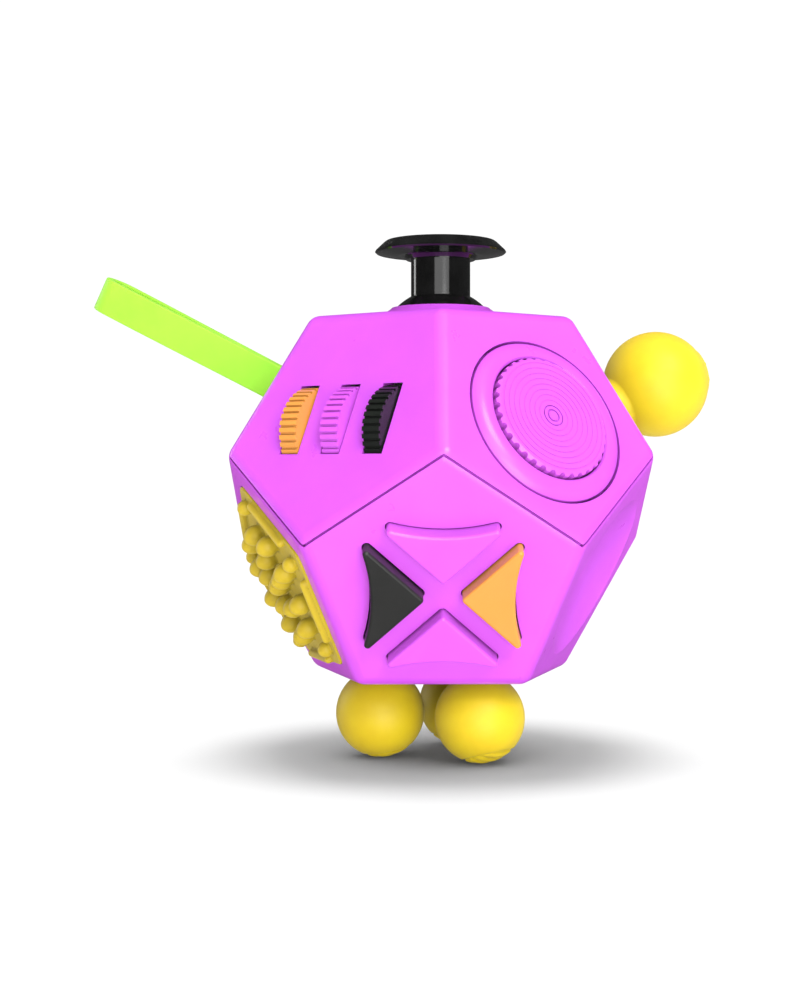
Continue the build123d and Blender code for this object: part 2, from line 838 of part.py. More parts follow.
def loop_outline(start, start_half, tip_radius, shoulder):
    """A tear-drop that starts narrow, widens steadily and ends in a half circle."""
    with BuildSketch(mode=Mode.PRIVATE) as outline:
        with BuildLine():
            Line((start_half, start), (-start_half, start))
            Spline(
                (-start_half, start),
                (-shoulder, (start + strap_end_middle) / 2),
                (-tip_radius, strap_end_middle),
                tangents=[(0, 1), (0, 1)],
            )
            RadiusArc(
                (-tip_radius, strap_end_middle), (tip_radius, strap_end_middle), tip_radius
            )
            Spline(
                (tip_radius, strap_end_middle),
                (shoulder, (start + strap_end_middle) / 2),
                (start_half, start),
                tangents=[(0, -1), (0, -1)],
            )
        make_face()
    return outline.sketch


strap_tip_inner = strap_end_radius - strap_band
with BuildPart() as wrist_strap:
    with BuildSketch(profile_of(strap_face)):
        add(loop_outline(-strap_pin_depth, strap_neck_half, strap_end_radius, 2.3))
        add(
            loop_outline(strap_loop_start, 0.15, strap_tip_inner, 1.25),
            mode=Mode.SUBTRACT,
        )
        with Locations((0, -strap_pin_depth)):
            Circle(strap_eye_radius)
            Circle(strap_pin_radius + running_gap, mode=Mode.SUBTRACT)
    extrude(amount=strap_width / 2, both=True)
wrist_strap.part.label = "wrist_strap"
export_step(wrist_strap.part, "parts/wrist_strap.step")

strap_pin_plane = profile_of(strap_face.offset(-strap_pin_depth))
strap_lug_reach = strap_width / 2 + strap_lug_gap + strap_lug_thickness
with BuildPart() as strap_pin:
    with BuildSketch(strap_pin_plane):
        Circle(strap_pin_radius)
    extrude(amount=strap_lug_reach, both=True)
strap_pin.part.label = "strap_pin"
export_step(strap_pin.part, "parts/strap_pin.step")

# ------------------------------------------------- three-ball spinner (underside)
rotor_radius = 12.0
rotor_thickness = 1.6
pocket_radius = 12.25
pocket_depth = 3.2
pocket_floor = 1.4
ball_plug_radius = 1.5
ball_plug_head_radius = 2.1
ball_plug_head = 1.2
bearing_bore_radius = 2.5
bearing_outer_radius = 5.5
bearing_inner_race = 3.45
bearing_outer_race = 4.55
bearing_top_depth = 1.4
bearing_width = 4.0
bearing_ball_radius = 0.8
bearing_ball_count = 9
bearing_pitch_radius = (bearing_inner_race + bearing_outer_race) / 2
bearing_base_depth = bearing_top_depth + bearing_width
bearing_middle = spinner_face.offset(-bearing_top_depth - bearing_width / 2)
race_clearance = 0.02
hub_wall_radius = 6.4
hub_mouth_radius = 4.2
hub_pocket_radius = 7.0
hub_pocket_depth = 6.6
hub_pocket_floor = 1.4
post_shoulder_radius = 3.2
tie_head_radius = 3.3
tie_head_top_depth = 0.2
tie_sleeve_depth = 2 * inradius - tie_boss_depth
foot_turns = [foot_ball_turn + 120 * k for k in range(3)]

with BuildPart() as spinner_rotor:
    with BuildSketch(spinner_face.offset(-rotor_thickness)):
        Circle(rotor_radius)
        Circle(hub_mouth_radius, mode=Mode.SUBTRACT)
        with PolarLocations(foot_ball_circle, 3, start_angle=90 - foot_ball_turn):
            Circle(ball_plug_radius, mode=Mode.SUBTRACT)
    extrude(amount=rotor_thickness)
    with BuildSketch(spinner_face.offset(-bearing_base_depth)):
        Circle(hub_wall_radius)
        Circle(bearing_outer_radius, mode=Mode.SUBTRACT)
    extrude(amount=bearing_base_depth - rotor_thickness)
    with BuildSketch(spinner_face.offset(-rotor_thickness)):
        Circle(bearing_outer_radius)
    extrude(amount=rotor_thickness - bearing_top_depth, mode=Mode.SUBTRACT)
spinner_rotor.part.label = "spinner_rotor"
export_step(spinner_rotor.part, "parts/spinner_rotor.step")


def bearing_ring(inside, outside):
    """One ring of the ball bearing, with the groove that its balls run in."""
    with BuildPart() as ring:
        with BuildSketch(bearing_middle.offset(-bearing_width / 2)):
            Circle(outside)
            Circle(inside, mode=Mode.SUBTRACT)
        extrude(amount=bearing_width)
        with BuildSketch(profile_of(bearing_middle)):
            with Locations((bearing_pitch_radius, 0)):
                Circle(bearing_ball_radius + race_clearance)
        revolve(axis=axis_of(bearing_middle), mode=Mode.SUBTRACT)
    return ring.part


with BuildPart() as bearing_inner_ring:
    add(bearing_ring(bearing_bore_radius, bearing_inner_race))
bearing_inner_ring.part.label = "bearing_inner_ring"
export_step(bearing_inner_ring.part, "parts/bearing_inner_ring.step")

with BuildPart() as bearing_outer_ring:
    add(bearing_ring(bearing_outer_race, bearing_outer_radius))
bearing_outer_ring.part.label = "bearing_outer_ring"
export_step(bearing_outer_ring.part, "parts/bearing_outer_ring.step")

with BuildPart(bearing_middle) as bearing_balls:
    with PolarLocations(bearing_pitch_radius, bearing_ball_count):
        Sphere(bearing_ball_radius)
bearing_balls.part.label = "bearing_balls"
export_step(bearing_balls.part, "parts/bearing_balls.step")


def foot_ball(turn):
    """One ball of the spinner, with the plug that holds it in the rotor."""
    angle = radians(90 - turn)
    spot = shifted(
        spinner_face, foot_ball_circle * cos(angle), foot_ball_circle * sin(angle)
    )
    with BuildPart() as ball:
        with Locations(spot.offset(foot_ball_rise)):
            Sphere(foot_ball_radius)
        split(bisect_by=spinner_face, keep=Keep.TOP)
        with BuildSketch(spot.offset(-rotor_thickness)):
            Circle(ball_plug_radius)
        extrude(amount=rotor_thickness)
        with BuildSketch(spot.offset(-rotor_thickness - ball_plug_head)):
            Circle(ball_plug_head_radius)
        extrude(amount=ball_plug_head)
    return ball.part


with BuildPart() as left_foot_ball:
    add(foot_ball(foot_turns[0]))
left_foot_ball.part.label = "left_foot_ball"
export_step(left_foot_ball.part, "parts/left_foot_ball.step")

with BuildPart() as right_foot_ball:
    add(foot_ball(foot_turns[1]))
right_foot_ball.part.label = "right_foot_ball"
export_step(right_foot_ball.part, "parts/right_foot_ball.step")

with BuildPart() as rear_foot_ball:
    add(foot_ball(foot_turns[2]))
rear_foot_ball.part.label = "rear_foot_ball"
export_step(rear_foot_ball.part, "parts/rear_foot_ball.step")

with BuildPart() as spinner_cap:
    with BuildSketch(spinner_face):
        Circle(hub_mouth_radius)
    extrude(amount=0.7)
    fillet(spinner_cap.edges().group_by(axis_of(spinner_face))[-1], 0.3)
    with BuildSketch(spinner_face.offset(-1)):
        Circle(hub_mouth_radius)
        Circle(hub_mouth_radius - 0.6, mode=Mode.SUBTRACT)
    extrude(amount=1)
spinner_cap.part.label = "spinner_cap"
export_step(spinner_cap.part, "parts/spinner_cap.step")

with BuildPart() as tie_screw:
    with BuildSketch(spinner_face.offset(-bearing_top_depth)):
        Circle(tie_head_radius)
    extrude(amount=bearing_top_depth - tie_head_top_depth)
    with BuildSketch(spinner_face.offset(-tie_sleeve_depth - 2.8)):
        Circle(tie_screw_radius)
    extrude(amount=tie_sleeve_depth + 2.8 - bearing_top_depth)
    with BuildSketch(spinner_face.offset(-tie_head_top_depth)):
        RegularPolygon(1.4, 6)
    extrude(amount=-0.8, mode=Mode.SUBTRACT)
tie_screw.part.label = "tie_screw"
export_step(tie_screw.part, "parts/tie_screw.step")

# ---------------------------------------------------- rocker switch (upper back)
rocker_pivot_depth = 1.5
rocker_swing_radius = 6.9
rocker_half_width = 4.2
rocker_end_rise = 3.8
rocker_middle_rise = 2.7
rocker_under = 1.0
rocker_nose_radius = 0.8
rocker_nose_reach = 2.5
rocker_rest_tilt = 9.0
rocker_pin_radius = 1.0
frame_inner_half_width = 4.45
frame_inner_half_length = 7.1
frame_wall = 0.9
frame_flange = 1.3
frame_flange_height = 0.8
frame_depth = 5.4
leaf_thickness = 0.3
leaf_depth = rocker_pivot_depth + rocker_nose_reach + 0.3
leaf_half_length = frame_inner_half_length + 0.4
leaf_width = 5.0
rocker_axis_plane = rocker_face.offset(-rocker_pivot_depth)
frame_outer_width = 2 * (frame_inner_half_width + frame_wall)
frame_outer_length = 2 * (frame_inner_half_length + frame_wall)
frame_corner = 1.5

with BuildPart() as rocker_frame:
    with BuildSketch(rocker_face.offset(-frame_depth)):
        RectangleRounded(frame_outer_width, frame_outer_length, frame_corner)
    extrude(amount=frame_depth)
    with BuildSketch(rocker_face):
        RectangleRounded(
            frame_outer_width + 2 * frame_flange,
            frame_outer_length + 2 * frame_flange,
            frame_corner + frame_flange,
        )
    extrude(amount=frame_flange_height)
    rim = rocker_frame.edges().group_by(axis_of(rocker_face))[-1]
    fillet(rim, 0.5)
    with BuildSketch(rocker_face.offset(-frame_depth)):
        Rectangle(2 * frame_inner_half_width, 2 * frame_inner_half_length)
    extrude(amount=frame_depth + frame_flange_height, mode=Mode.SUBTRACT)
    with BuildSketch(side_of(rocker_axis_plane)):
        Circle(rocker_pin_radius)
    extrude(amount=frame_outer_width, both=True, mode=Mode.SUBTRACT)
    with BuildSketch(rocker_face.offset(-leaf_depth - leaf_thickness)):
        Rectangle(leaf_width, 2 * leaf_half_length)
    extrude(amount=leaf_thickness, mode=Mode.SUBTRACT)
rocker_frame.part.label = "rocker_frame"
export_step(rocker_frame.part, "parts/rocker_frame.step")

with BuildPart() as rocker_pin:
    with BuildSketch(side_of(rocker_axis_plane)):
        Circle(rocker_pin_radius)
    extrude(amount=frame_outer_width / 2, both=True)
rocker_pin.part.label = "rocker_pin"
export_step(rocker_pin.part, "parts/rocker_pin.step")

level_side = side_of(rocker_axis_plane)
tipped_side = Plane(
    origin=level_side.origin,
    x_dir=level_side.x_dir.rotate(Axis((0, 0, 0), level_side.z_dir), rocker_rest_tilt),
    z_dir=level_side.z_dir,
)
with BuildPart() as rocker_switch:
    with BuildSketch(tipped_side):
        Circle(rocker_swing_radius)
        with BuildLine():
            Polyline(
                (-rocker_swing_radius - 1, rocker_end_rise),
                (0, rocker_middle_rise),
                (rocker_swing_radius + 1, rocker_end_rise),
                (rocker_swing_radius + 1, -rocker_under),
                (1.8, -rocker_under),
                (rocker_nose_radius, -rocker_nose_reach),
                (-rocker_nose_radius, -rocker_nose_reach),
                (-1.8, -rocker_under),
                (-rocker_swing_radius - 1, -rocker_under),
                close=True,
            )
        make_face(mode=Mode.INTERSECT)
        Circle(rocker_pin_radius + running_gap, mode=Mode.SUBTRACT)
    extrude(amount=rocker_half_width, both=True)
rocker_switch.part.label = "rocker_switch"
export_step(rocker_switch.part, "parts/rocker_switch.step")

with BuildPart() as rocker_leaf_spring:
    with BuildSketch(rocker_face.offset(-leaf_depth - leaf_thickness)):
        Rectangle(leaf_width, 2 * leaf_half_length)
    extrude(amount=leaf_thickness)
rocker_leaf_spring.part.label = "rocker_leaf_spring"
export_step(rocker_leaf_spring.part, "parts/rocker_leaf_spring.step")

# ---------------------------------------------------------- slider (lower back left)
slider_travel = 3.5
slider_play = 0.1
track_length = 19.0
track_width = 8.0
track_flange = 1.5
track_flange_height = 0.8
track_depth = 3.2
track_cover = 1.0
track_slot_width = 4.0
track_lip_depth = 1.2
channel_length = 17.0
channel_width = 6.4
neck_length = 5.0
knob_radius = 4.6
knob_height = 1.8
clip_length = 8.4
clip_width = 6.0
clip_thickness = 1.2

with BuildPart() as slider_track:
    with BuildSketch(slider_face.offset(-track_depth)):
        SlotOverall(track_length, track_width)
    extrude(amount=track_depth)
    with BuildSketch(slider_face):
        SlotOverall(track_length + 2 * track_flange, track_width + 2 * track_flange)
    extrude(amount=track_flange_height)
    fillet(slider_track.edges().group_by(axis_of(slider_face))[-1], 0.5)
    with BuildSketch(slider_face.offset(-track_depth)):
        SlotOverall(neck_length + 2 * slider_travel, track_slot_width)
    extrude(amount=track_depth + track_flange_height, mode=Mode.SUBTRACT)
    with BuildSketch(slider_face.offset(-track_depth)):
        SlotOverall(channel_length, channel_width)
    extrude(amount=track_depth - track_lip_depth, mode=Mode.SUBTRACT)
slider_track.part.label = "slider_track"
export_step(slider_track.part, "parts/slider_track.step")

with BuildPart() as slider_knob:
    with BuildSketch(slider_face.offset(track_flange_height + slider_play)):
        Circle(knob_radius)
    extrude(amount=knob_height)
    fillet(slider_knob.edges().group_by(axis_of(slider_face))[-1], 0.7)
    with BuildSketch(slider_face.offset(-track_lip_depth - slider_play)):
        SlotOverall(neck_length, track_slot_width - 2 * slider_play)
    extrude(amount=track_lip_depth + track_flange_height + 2 * slider_play)
slider_knob.part.label = "slider_knob"
export_step(slider_knob.part, "parts/slider_knob.step")

with BuildPart() as slider_clip:
    clip_base_depth = track_lip_depth + slider_play + clip_thickness
    with BuildSketch(slider_face.offset(-clip_base_depth)):
        SlotOverall(clip_length, clip_width)
    extrude(amount=clip_thickness)
slider_clip.part.label = "slider_clip"
export_step(slider_clip.part, "parts/slider_clip.step")

with BuildPart() as slider_cover:
    with BuildSketch(slider_face.offset(-track_depth - track_cover)):
        SlotOverall(track_length, track_width)
    extrude(amount=track_cover)
slider_cover.part.label = "slider_cover"
export_step(slider_cover.part, "parts/slider_cover.step")

# --------------------------------------------------- click button (lower back right)
clicker_radius = 5.4
clicker_height = 3.4
clicker_skirt_depth = 1.0
clicker_roof = 1.0
clicker_roof_radius = 3.7
sleeve_bore_radius = 5.6
sleeve_outer_radius = 7.0
sleeve_flange_radius = 8.2
sleeve_flange_height = 0.8
sleeve_floor_depth = 5.3
sleeve_base_depth = 6.5
clicker_stem_radius = 1.4
clicker_stem_depth = 7.6
clip_ring_radius = 2.6
clip_ring_thickness = 0.9
clicker_wire = 0.3
clicker_coil_radius = 2.6

with BuildPart() as clicker_sleeve:
    with BuildSketch(clicker_face.offset(-sleeve_base_depth)):
        Circle(sleeve_outer_radius)
        Circle(clicker_stem_radius + running_gap, mode=Mode.SUBTRACT)
    extrude(amount=sleeve_base_depth)
    with BuildSketch(clicker_face):
        Circle(sleeve_flange_radius)
    extrude(amount=sleeve_flange_height)
    fillet(clicker_sleeve.edges().group_by(axis_of(clicker_face))[-1], 0.5)
    with BuildSketch(clicker_face.offset(-sleeve_floor_depth)):
        Circle(sleeve_bore_radius)
    extrude(amount=sleeve_floor_depth + sleeve_flange_height, mode=Mode.SUBTRACT)
clicker_sleeve.part.label = "clicker_sleeve"
export_step(clicker_sleeve.part, "parts/clicker_sleeve.step")

with BuildPart() as clicker_button:
    with BuildSketch(clicker_face.offset(-clicker_skirt_depth)):
        Circle(clicker_radius)
    extrude(amount=clicker_skirt_depth + clicker_height)
    fillet(clicker_button.edges().group_by(axis_of(clicker_face))[-1], 0.9)
    with BuildSketch(clicker_face.offset(-clicker_skirt_depth)):
        Circle(clicker_roof_radius)
    extrude(amount=clicker_skirt_depth + clicker_roof, mode=Mode.SUBTRACT)
    with BuildSketch(clicker_face.offset(-clicker_stem_depth)):
        Circle(clicker_stem_radius)
    extrude(amount=clicker_stem_depth + clicker_roof)
clicker_button.part.label = "clicker_button"
export_step(clicker_button.part, "parts/clicker_button.step")

with BuildPart() as clicker_clip:
    with BuildSketch(clicker_face.offset(-clicker_stem_depth)):
        Circle(clip_ring_radius)
        Circle(clicker_stem_radius, mode=Mode.SUBTRACT)
    extrude(amount=clip_ring_thickness)
clicker_clip.part.label = "clicker_clip"
export_step(clicker_clip.part, "parts/clicker_clip.step")

with BuildPart() as clicker_spring:
    seat = clicker_face.offset(-sleeve_floor_depth)
    room = sleeve_floor_depth + clicker_roof
    add(coil_spring(seat, room, clicker_coil_radius, clicker_wire, 4))
clicker_spring.part.label = "clicker_spring"
export_step(clicker_spring.part, "parts/clicker_spring.step")

# ------------------------------------------------------------------- two casings
dish_radius = 12.2
dish_depth = 2.2
dish_backing_radius = 12.8
dish_backing_depth = 4.2
dish_sphere_radius = (dish_radius**2 + dish_depth**2) / (2 * dish_depth)
gear_post_radius = 1.5
ear_post_radius = 1.8


def posts(plane, places, radius, depth):
    """Screw posts that stand on the inside of the wall and reach a depth."""
    with BuildPart() as columns:
        with BuildSketch(plane.offset(-depth)):
            with Locations(*places):
                Circle(radius)
        extrude(amount=depth - wall / 2)
    return columns.part


def pilot_holes(plane, places, depth):
    """Screw holes that reach a depth and stop short of the outer skin."""
    with BuildPart() as holes:
        with BuildSketch(plane.offset(-depth)):
            with Locations(*places):
                Circle(small_screw_radius)
        extrude(amount=depth - skin_left)
    return holes.part


with BuildPart() as upper_casing:
    add(outer_block.part)
    add(inner_block, mode=Mode.SUBTRACT)
    add(upper_zone, mode=Mode.INTERSECT)
    add(seam_groove.part, mode=Mode.SUBTRACT)
    # collar and round seat of the joystick
    with BuildSketch(profile_of(joystick_face)):
        with BuildLine():
            Polyline(
                (0, -wall / 2),
                (collar_base_radius, -wall / 2),
                (collar_base_radius, 0),
                (collar_top_radius, collar_height - 0.2),
                (collar_top_radius - 0.2, collar_height),
                (0, collar_height),
                close=True,
            )
        make_face()
    revolve(axis=axis_of(joystick_face))
    with Locations(pivot_plane):
        Sphere(seat_radius, mode=Mode.SUBTRACT)
    add(posts(joystick_face, ear_places(), ear_post_radius, ear_top_depth))
    add(pilot_holes(joystick_face, ear_places(), ear_top_depth), mode=Mode.SUBTRACT)
    # gear slots
    for step in (-1, 0, 1):
        with BuildSketch(side_of(axle_plane).offset(step * gear_spacing)):
            Circle(gear_radius + slot_end_gap)
        extrude(amount=slot_width / 2, both=True, mode=Mode.SUBTRACT)
    add(posts(gear_face, gear_screw_places, gear_post_radius, rail_top_depth))
    add(pilot_holes(gear_face, gear_screw_places, rail_top_depth), mode=Mode.SUBTRACT)
    # seat of the dial's bezel
    with BuildSketch(dial_face.offset(-bezel_ring_depth)):
        Circle(bezel_ring_radius)
    extrude(amount=bezel_ring_depth - wall / 2)
    with BuildSketch(dial_face.offset(-bezel_seat_depth)):
        Circle(bezel_radius + bezel_gap)
    extrude(amount=bezel_seat_depth, mode=Mode.SUBTRACT)
    with BuildSketch(dial_face.offset(-bezel_ring_depth)):
        Circle(cup_radius)
    extrude(amount=bezel_ring_depth, mode=Mode.SUBTRACT)
    # hole of the squeeze ball
    with BuildSketch(ball_face.offset(-wall)):
        Circle(neck_radius)
    extrude(amount=wall, mode=Mode.SUBTRACT)
    # window and lugs of the strap
    lug_middle = strap_lug_reach - strap_lug_thickness / 2
    with BuildSketch(strap_face.offset(-strap_pin_depth - strap_eye_radius)):
        with GridLocations(0, 2 * lug_middle, 1, 2):
            Rectangle(strap_lug_width, strap_lug_thickness)
    extrude(amount=strap_pin_depth + strap_eye_radius - wall / 2)
    with BuildSketch(strap_pin_plane):
        Circle(strap_pin_radius)
    extrude(amount=strap_lug_reach, both=True, mode=Mode.SUBTRACT)
    with BuildSketch(strap_face.offset(-wall)):
        RectangleRounded(strap_window, strap_width + 0.8, 0.6)
    extrude(amount=wall, mode=Mode.SUBTRACT)
    # hole of the rocker's frame
    with BuildSketch(rocker_face.offset(-wall)):
        RectangleRounded(frame_outer_width, frame_outer_length, frame_corner)
    extrude(amount=wall, mode=Mode.SUBTRACT)
upper_casing.part.label = "upper_casing"
export_step(upper_casing.part, "parts/upper_casing.step")

with BuildPart() as lower_casing:
    add(outer_block.part)
    add(inner_block, mode=Mode.SUBTRACT)
    add(lower_zone, mode=Mode.INTERSECT)
    add(seam_groove.part, mode=Mode.SUBTRACT)
    # button windows
    add(posts(button_face, button_post_places, button_post_radius, backplate_top_depth))
    add(pilot_holes(button_face, button_post_places, backplate_top_depth), mode=Mode.SUBTRACT)
    with BuildSketch(button_face.offset(-wall)):
        for angle in range(0, 360, 90):
            add(button_outline(button_gap), rotation=angle)
    extrude(amount=wall, mode=Mode.SUBTRACT)
    # recess and peg holes of the massage pad
    with BuildSketch(pad_face.offset(-pad_recess_depth)) as recess:
        RegularPolygon(pad_inradius / cos(radians(36)), 5, rotation=90)
        fillet(recess.vertices(), pad_corner)
    extrude(amount=pad_recess_depth, mode=Mode.SUBTRACT)
    with BuildSketch(pad_face.offset(-wall)):
        with PolarLocations(pad_peg_circle, 5, start_angle=-90):
            Circle(pad_peg_radius)
    extrude(amount=wall, mode=Mode.SUBTRACT)
    # thumb dish, with the wall thickened behind it
    with BuildSketch(dish_face.offset(-dish_backing_depth)):
        Circle(dish_backing_radius)
    extrude(amount=dish_backing_depth - wall / 2)
    with Locations(dish_face.offset(dish_sphere_radius - dish_depth)):
        Sphere(dish_sphere_radius, mode=Mode.SUBTRACT)
    # holes of the slider and the click button
    with BuildSketch(slider_face.offset(-wall)):
        SlotOverall(track_length, track_width)
    extrude(amount=wall, mode=Mode.SUBTRACT)
    with BuildSketch(clicker_face.offset(-wall)):
        Circle(sleeve_outer_radius)
    extrude(amount=wall, mode=Mode.SUBTRACT)
    # spinner pocket, bearing post and the long sleeve of the tie screw
    with BuildSketch(profile_of(spinner_face)):
        with BuildLine():
            Polyline(
                (0, -wall / 2),
                (pocket_radius + 1.4, -wall / 2),
                (pocket_radius + 1.4, -pocket_depth),
                (pocket_radius + 0.6, -pocket_depth - pocket_floor),
                (hub_pocket_radius + 1.4, -pocket_depth - pocket_floor),
                (hub_pocket_radius + 1.4, -hub_pocket_depth - hub_pocket_floor),
                (tie_boss_radius, -hub_pocket_depth - hub_pocket_floor),
                (tie_boss_radius, -tie_sleeve_depth),
                (0, -tie_sleeve_depth),
                close=True,
            )
        make_face()
    revolve(axis=axis_of(spinner_face))
    with BuildSketch(profile_of(spinner_face)):
        with BuildLine():
            Polyline(
                (0, 1),
                (pocket_radius, 1),
                (pocket_radius, -pocket_depth),
                (hub_pocket_radius, -pocket_depth),
                (hub_pocket_radius, -hub_pocket_depth),
                (post_shoulder_radius, -hub_pocket_depth),
                (post_shoulder_radius, -bearing_base_depth),
                (bearing_bore_radius, -bearing_base_depth),
                (bearing_bore_radius, -bearing_top_depth),
                (0, -bearing_top_depth),
                close=True,
            )
        make_face()
    revolve(axis=axis_of(spinner_face), mode=Mode.SUBTRACT)
    with BuildSketch(spinner_face.offset(-tie_sleeve_depth)):
        Circle(tie_screw_radius)
    extrude(amount=tie_sleeve_depth, mode=Mode.SUBTRACT)
lower_casing.part.label = "lower_casing"
export_step(lower_casing.part, "parts/lower_casing.step")
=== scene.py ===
import json
from math import atan, cos, degrees, hypot, pi, radians, sin, sqrt, tan

import bmesh
import bpy
from mathutils import Matrix, Vector


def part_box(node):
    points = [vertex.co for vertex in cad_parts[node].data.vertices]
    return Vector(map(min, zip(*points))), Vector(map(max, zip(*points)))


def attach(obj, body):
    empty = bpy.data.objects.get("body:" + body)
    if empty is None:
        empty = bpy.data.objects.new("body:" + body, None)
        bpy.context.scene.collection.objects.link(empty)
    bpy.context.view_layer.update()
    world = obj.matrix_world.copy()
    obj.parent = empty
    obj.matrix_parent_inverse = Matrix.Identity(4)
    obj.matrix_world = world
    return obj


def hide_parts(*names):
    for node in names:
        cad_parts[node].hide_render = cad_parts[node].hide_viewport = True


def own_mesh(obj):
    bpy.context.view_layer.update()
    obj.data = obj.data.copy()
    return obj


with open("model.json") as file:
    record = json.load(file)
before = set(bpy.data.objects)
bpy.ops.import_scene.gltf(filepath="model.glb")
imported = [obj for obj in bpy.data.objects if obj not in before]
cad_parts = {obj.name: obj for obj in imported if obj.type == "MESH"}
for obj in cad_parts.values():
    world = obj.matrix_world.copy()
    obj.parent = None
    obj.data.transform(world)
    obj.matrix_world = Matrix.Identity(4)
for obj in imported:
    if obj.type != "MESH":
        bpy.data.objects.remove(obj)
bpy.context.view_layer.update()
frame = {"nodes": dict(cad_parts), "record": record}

# Shapes are drawn in millimetres in a face's own axes (x level, y up the slope,
# z outward) and placed in the frame's metres by that face's matrix.
MM = 0.001

# ------------------------------------------------------------ where things are
COLLAR_HEIGHT = 1.6
FACE_TILT = degrees(atan(0.5))
bottom_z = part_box("lower_casing")[0].z
top_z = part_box("upper_casing")[1].z - COLLAR_HEIGHT * MM
body_centre = Vector((0, 0, (top_z + bottom_z) / 2))
inradius = (top_z - bottom_z) / 2

JOYSTICK_FACE = (0, 90)
GEAR_FACE = (-36, FACE_TILT)
DIAL_FACE = (36, FACE_TILT)
BALL_FACE = (108, FACE_TILT)
STRAP_FACE = (-108, FACE_TILT)
BUTTON_FACE = (0, -FACE_TILT)
PAD_FACE = (-72, -FACE_TILT)
SPINNER_FACE = (0, -90)


def toward(azimuth, elevation):
    """A unit vector, with the azimuth in degrees from the front face (-Y) toward +X."""
    around = radians(azimuth)
    up = radians(elevation)
    return Vector((sin(around) * cos(up), -cos(around) * cos(up), sin(up)))


def face_matrix(direction, x=0.0, y=0.0, z=0.0):
    """Maps a face's own millimetres to the frame's metres, shifted within the face."""
    around = radians(direction[0])
    outward = toward(*direction)
    level = Vector((cos(around), sin(around), 0))
    slope = outward.cross(level)
    turn = Matrix((level, slope, outward)).transposed().to_4x4()
    origin = body_centre + outward * inradius
    place = Matrix.Translation(origin) @ turn @ Matrix.Scale(MM, 4)
    return place @ Matrix.Translation((x, y, z))


# -------------------------------------------------------------- mesh making
SMOOTH_ANGLE = 35


def added(name, data):
    """A new object in the scene."""
    thing = bpy.data.objects.new(name, data)
    bpy.context.scene.collection.objects.link(thing)
    return thing


def cleaned(mesh, weld=0.0):
    """Welds close points if asked, turns faces outward and shades smooth under an angle."""
    shell = bmesh.new()
    shell.from_mesh(mesh)
    if weld:
        bmesh.ops.remove_doubles(shell, verts=shell.verts, dist=weld * MM)
    bmesh.ops.recalc_face_normals(shell, faces=shell.faces)
    shell.to_mesh(mesh)
    shell.free()
    mesh.shade_smooth()
    mesh.set_sharp_from_angle(angle=radians(SMOOTH_ANGLE))


def arc(middle_x, middle_y, radius, start, end, steps):
    """Points on a circle from one angle to another, in degrees."""
    points = []
    for k in range(steps + 1):
        angle = radians(start + (end - start) * k / steps)
        points.append((middle_x + radius * cos(angle), middle_y + radius * sin(angle)))
    return points


def rounded(corners, radius, steps):
    """Rounds every corner of a closed outline to one radius."""
    result = []
    for k, corner in enumerate(corners):
        here = Vector(corner)
        before = Vector(corners[k - 1])
        after = Vector(corners[(k + 1) % len(corners)])
        to_before = (before - here).normalized()
        to_after = (after - here).normalized()
        half = to_before.angle(to_after) / 2
        reach = radius / tan(half)
        middle = here + (to_before + to_after).normalized() * (radius / sin(half))
        first = here + to_before * reach - middle
        last = here + to_after * reach - middle
        sweep = first.angle_signed(last)
        for step in range(steps + 1):
            turned = first.copy()
            turned.rotate(Matrix.Rotation(-sweep * step / steps, 2))
            result.append(tuple(middle + turned))
    return result


def build(name, vertices, faces):
    """A mesh object from points and faces."""
    mesh = bpy.data.meshes.new(name)
    mesh.from_pydata(vertices, [], faces)
    cleaned(mesh)
    return added(name, mesh)


def lathe(name, profile, place, segments=128, warp=None):
    """Turns a profile of (radius, height) points round the place's z axis."""
    vertices = []
    faces = []
    rings = []
    for radius, height in profile:
        if radius < 1e-6:
            rings.append([len(vertices)])
            vertices.append(place @ Vector((0, 0, height)))
            continue
        ring = []
        for k in range(segments):
            angle = 2 * pi * k / segments
            here = (radius, height) if warp is None else warp(angle, radius, height)
            ring.append(len(vertices))
            vertices.append(
                place @ Vector((here[0] * cos(angle), here[0] * sin(angle), here[1]))
            )
        rings.append(ring)
    closed = len(rings[0]) > 1 and len(rings[-1]) > 1
    pairs = list(zip(rings, rings[1:]))
    if closed:
        pairs.append((rings[-1], rings[0]))
    for low, high in pairs:
        for k in range(segments):
            after = (k + 1) % segments
            if len(low) == 1:
                faces.append((low[0], high[after], high[k]))
            elif len(high) == 1:
                faces.append((low[k], low[after], high[0]))
            else:
                faces.append((low[k], low[after], high[after], high[k]))
    return build(name, vertices, faces)


# ------------------------------------------------------------------- materials
def node_tree(name):
    """A new material with its principled shader and object coordinates."""
    material = bpy.data.materials.new(name)
    material.use_nodes = True
    tree = material.node_tree
    shader = tree.nodes["Principled BSDF"]
    where = tree.nodes.new("ShaderNodeTexCoord").outputs["Object"]
    return material, tree, shader, where


def noise(tree, where, size, detail=3.0, roughness=0.5, stretch=None):
    """Noise whose lumps are about a size across, in millimetres."""
    if stretch is not None:
        mapping = tree.nodes.new("ShaderNodeMapping")
        mapping.inputs["Scale"].default_value = stretch
        tree.links.new(where, mapping.inputs["Vector"])
        where = mapping.outputs["Vector"]
    texture = tree.nodes.new("ShaderNodeTexNoise")
    texture.inputs["Scale"].default_value = 1 / (size * MM)
    texture.inputs["Detail"].default_value = detail
    texture.inputs["Roughness"].default_value = roughness
    tree.links.new(where, texture.inputs["Vector"])
    return texture.outputs["Fac"]


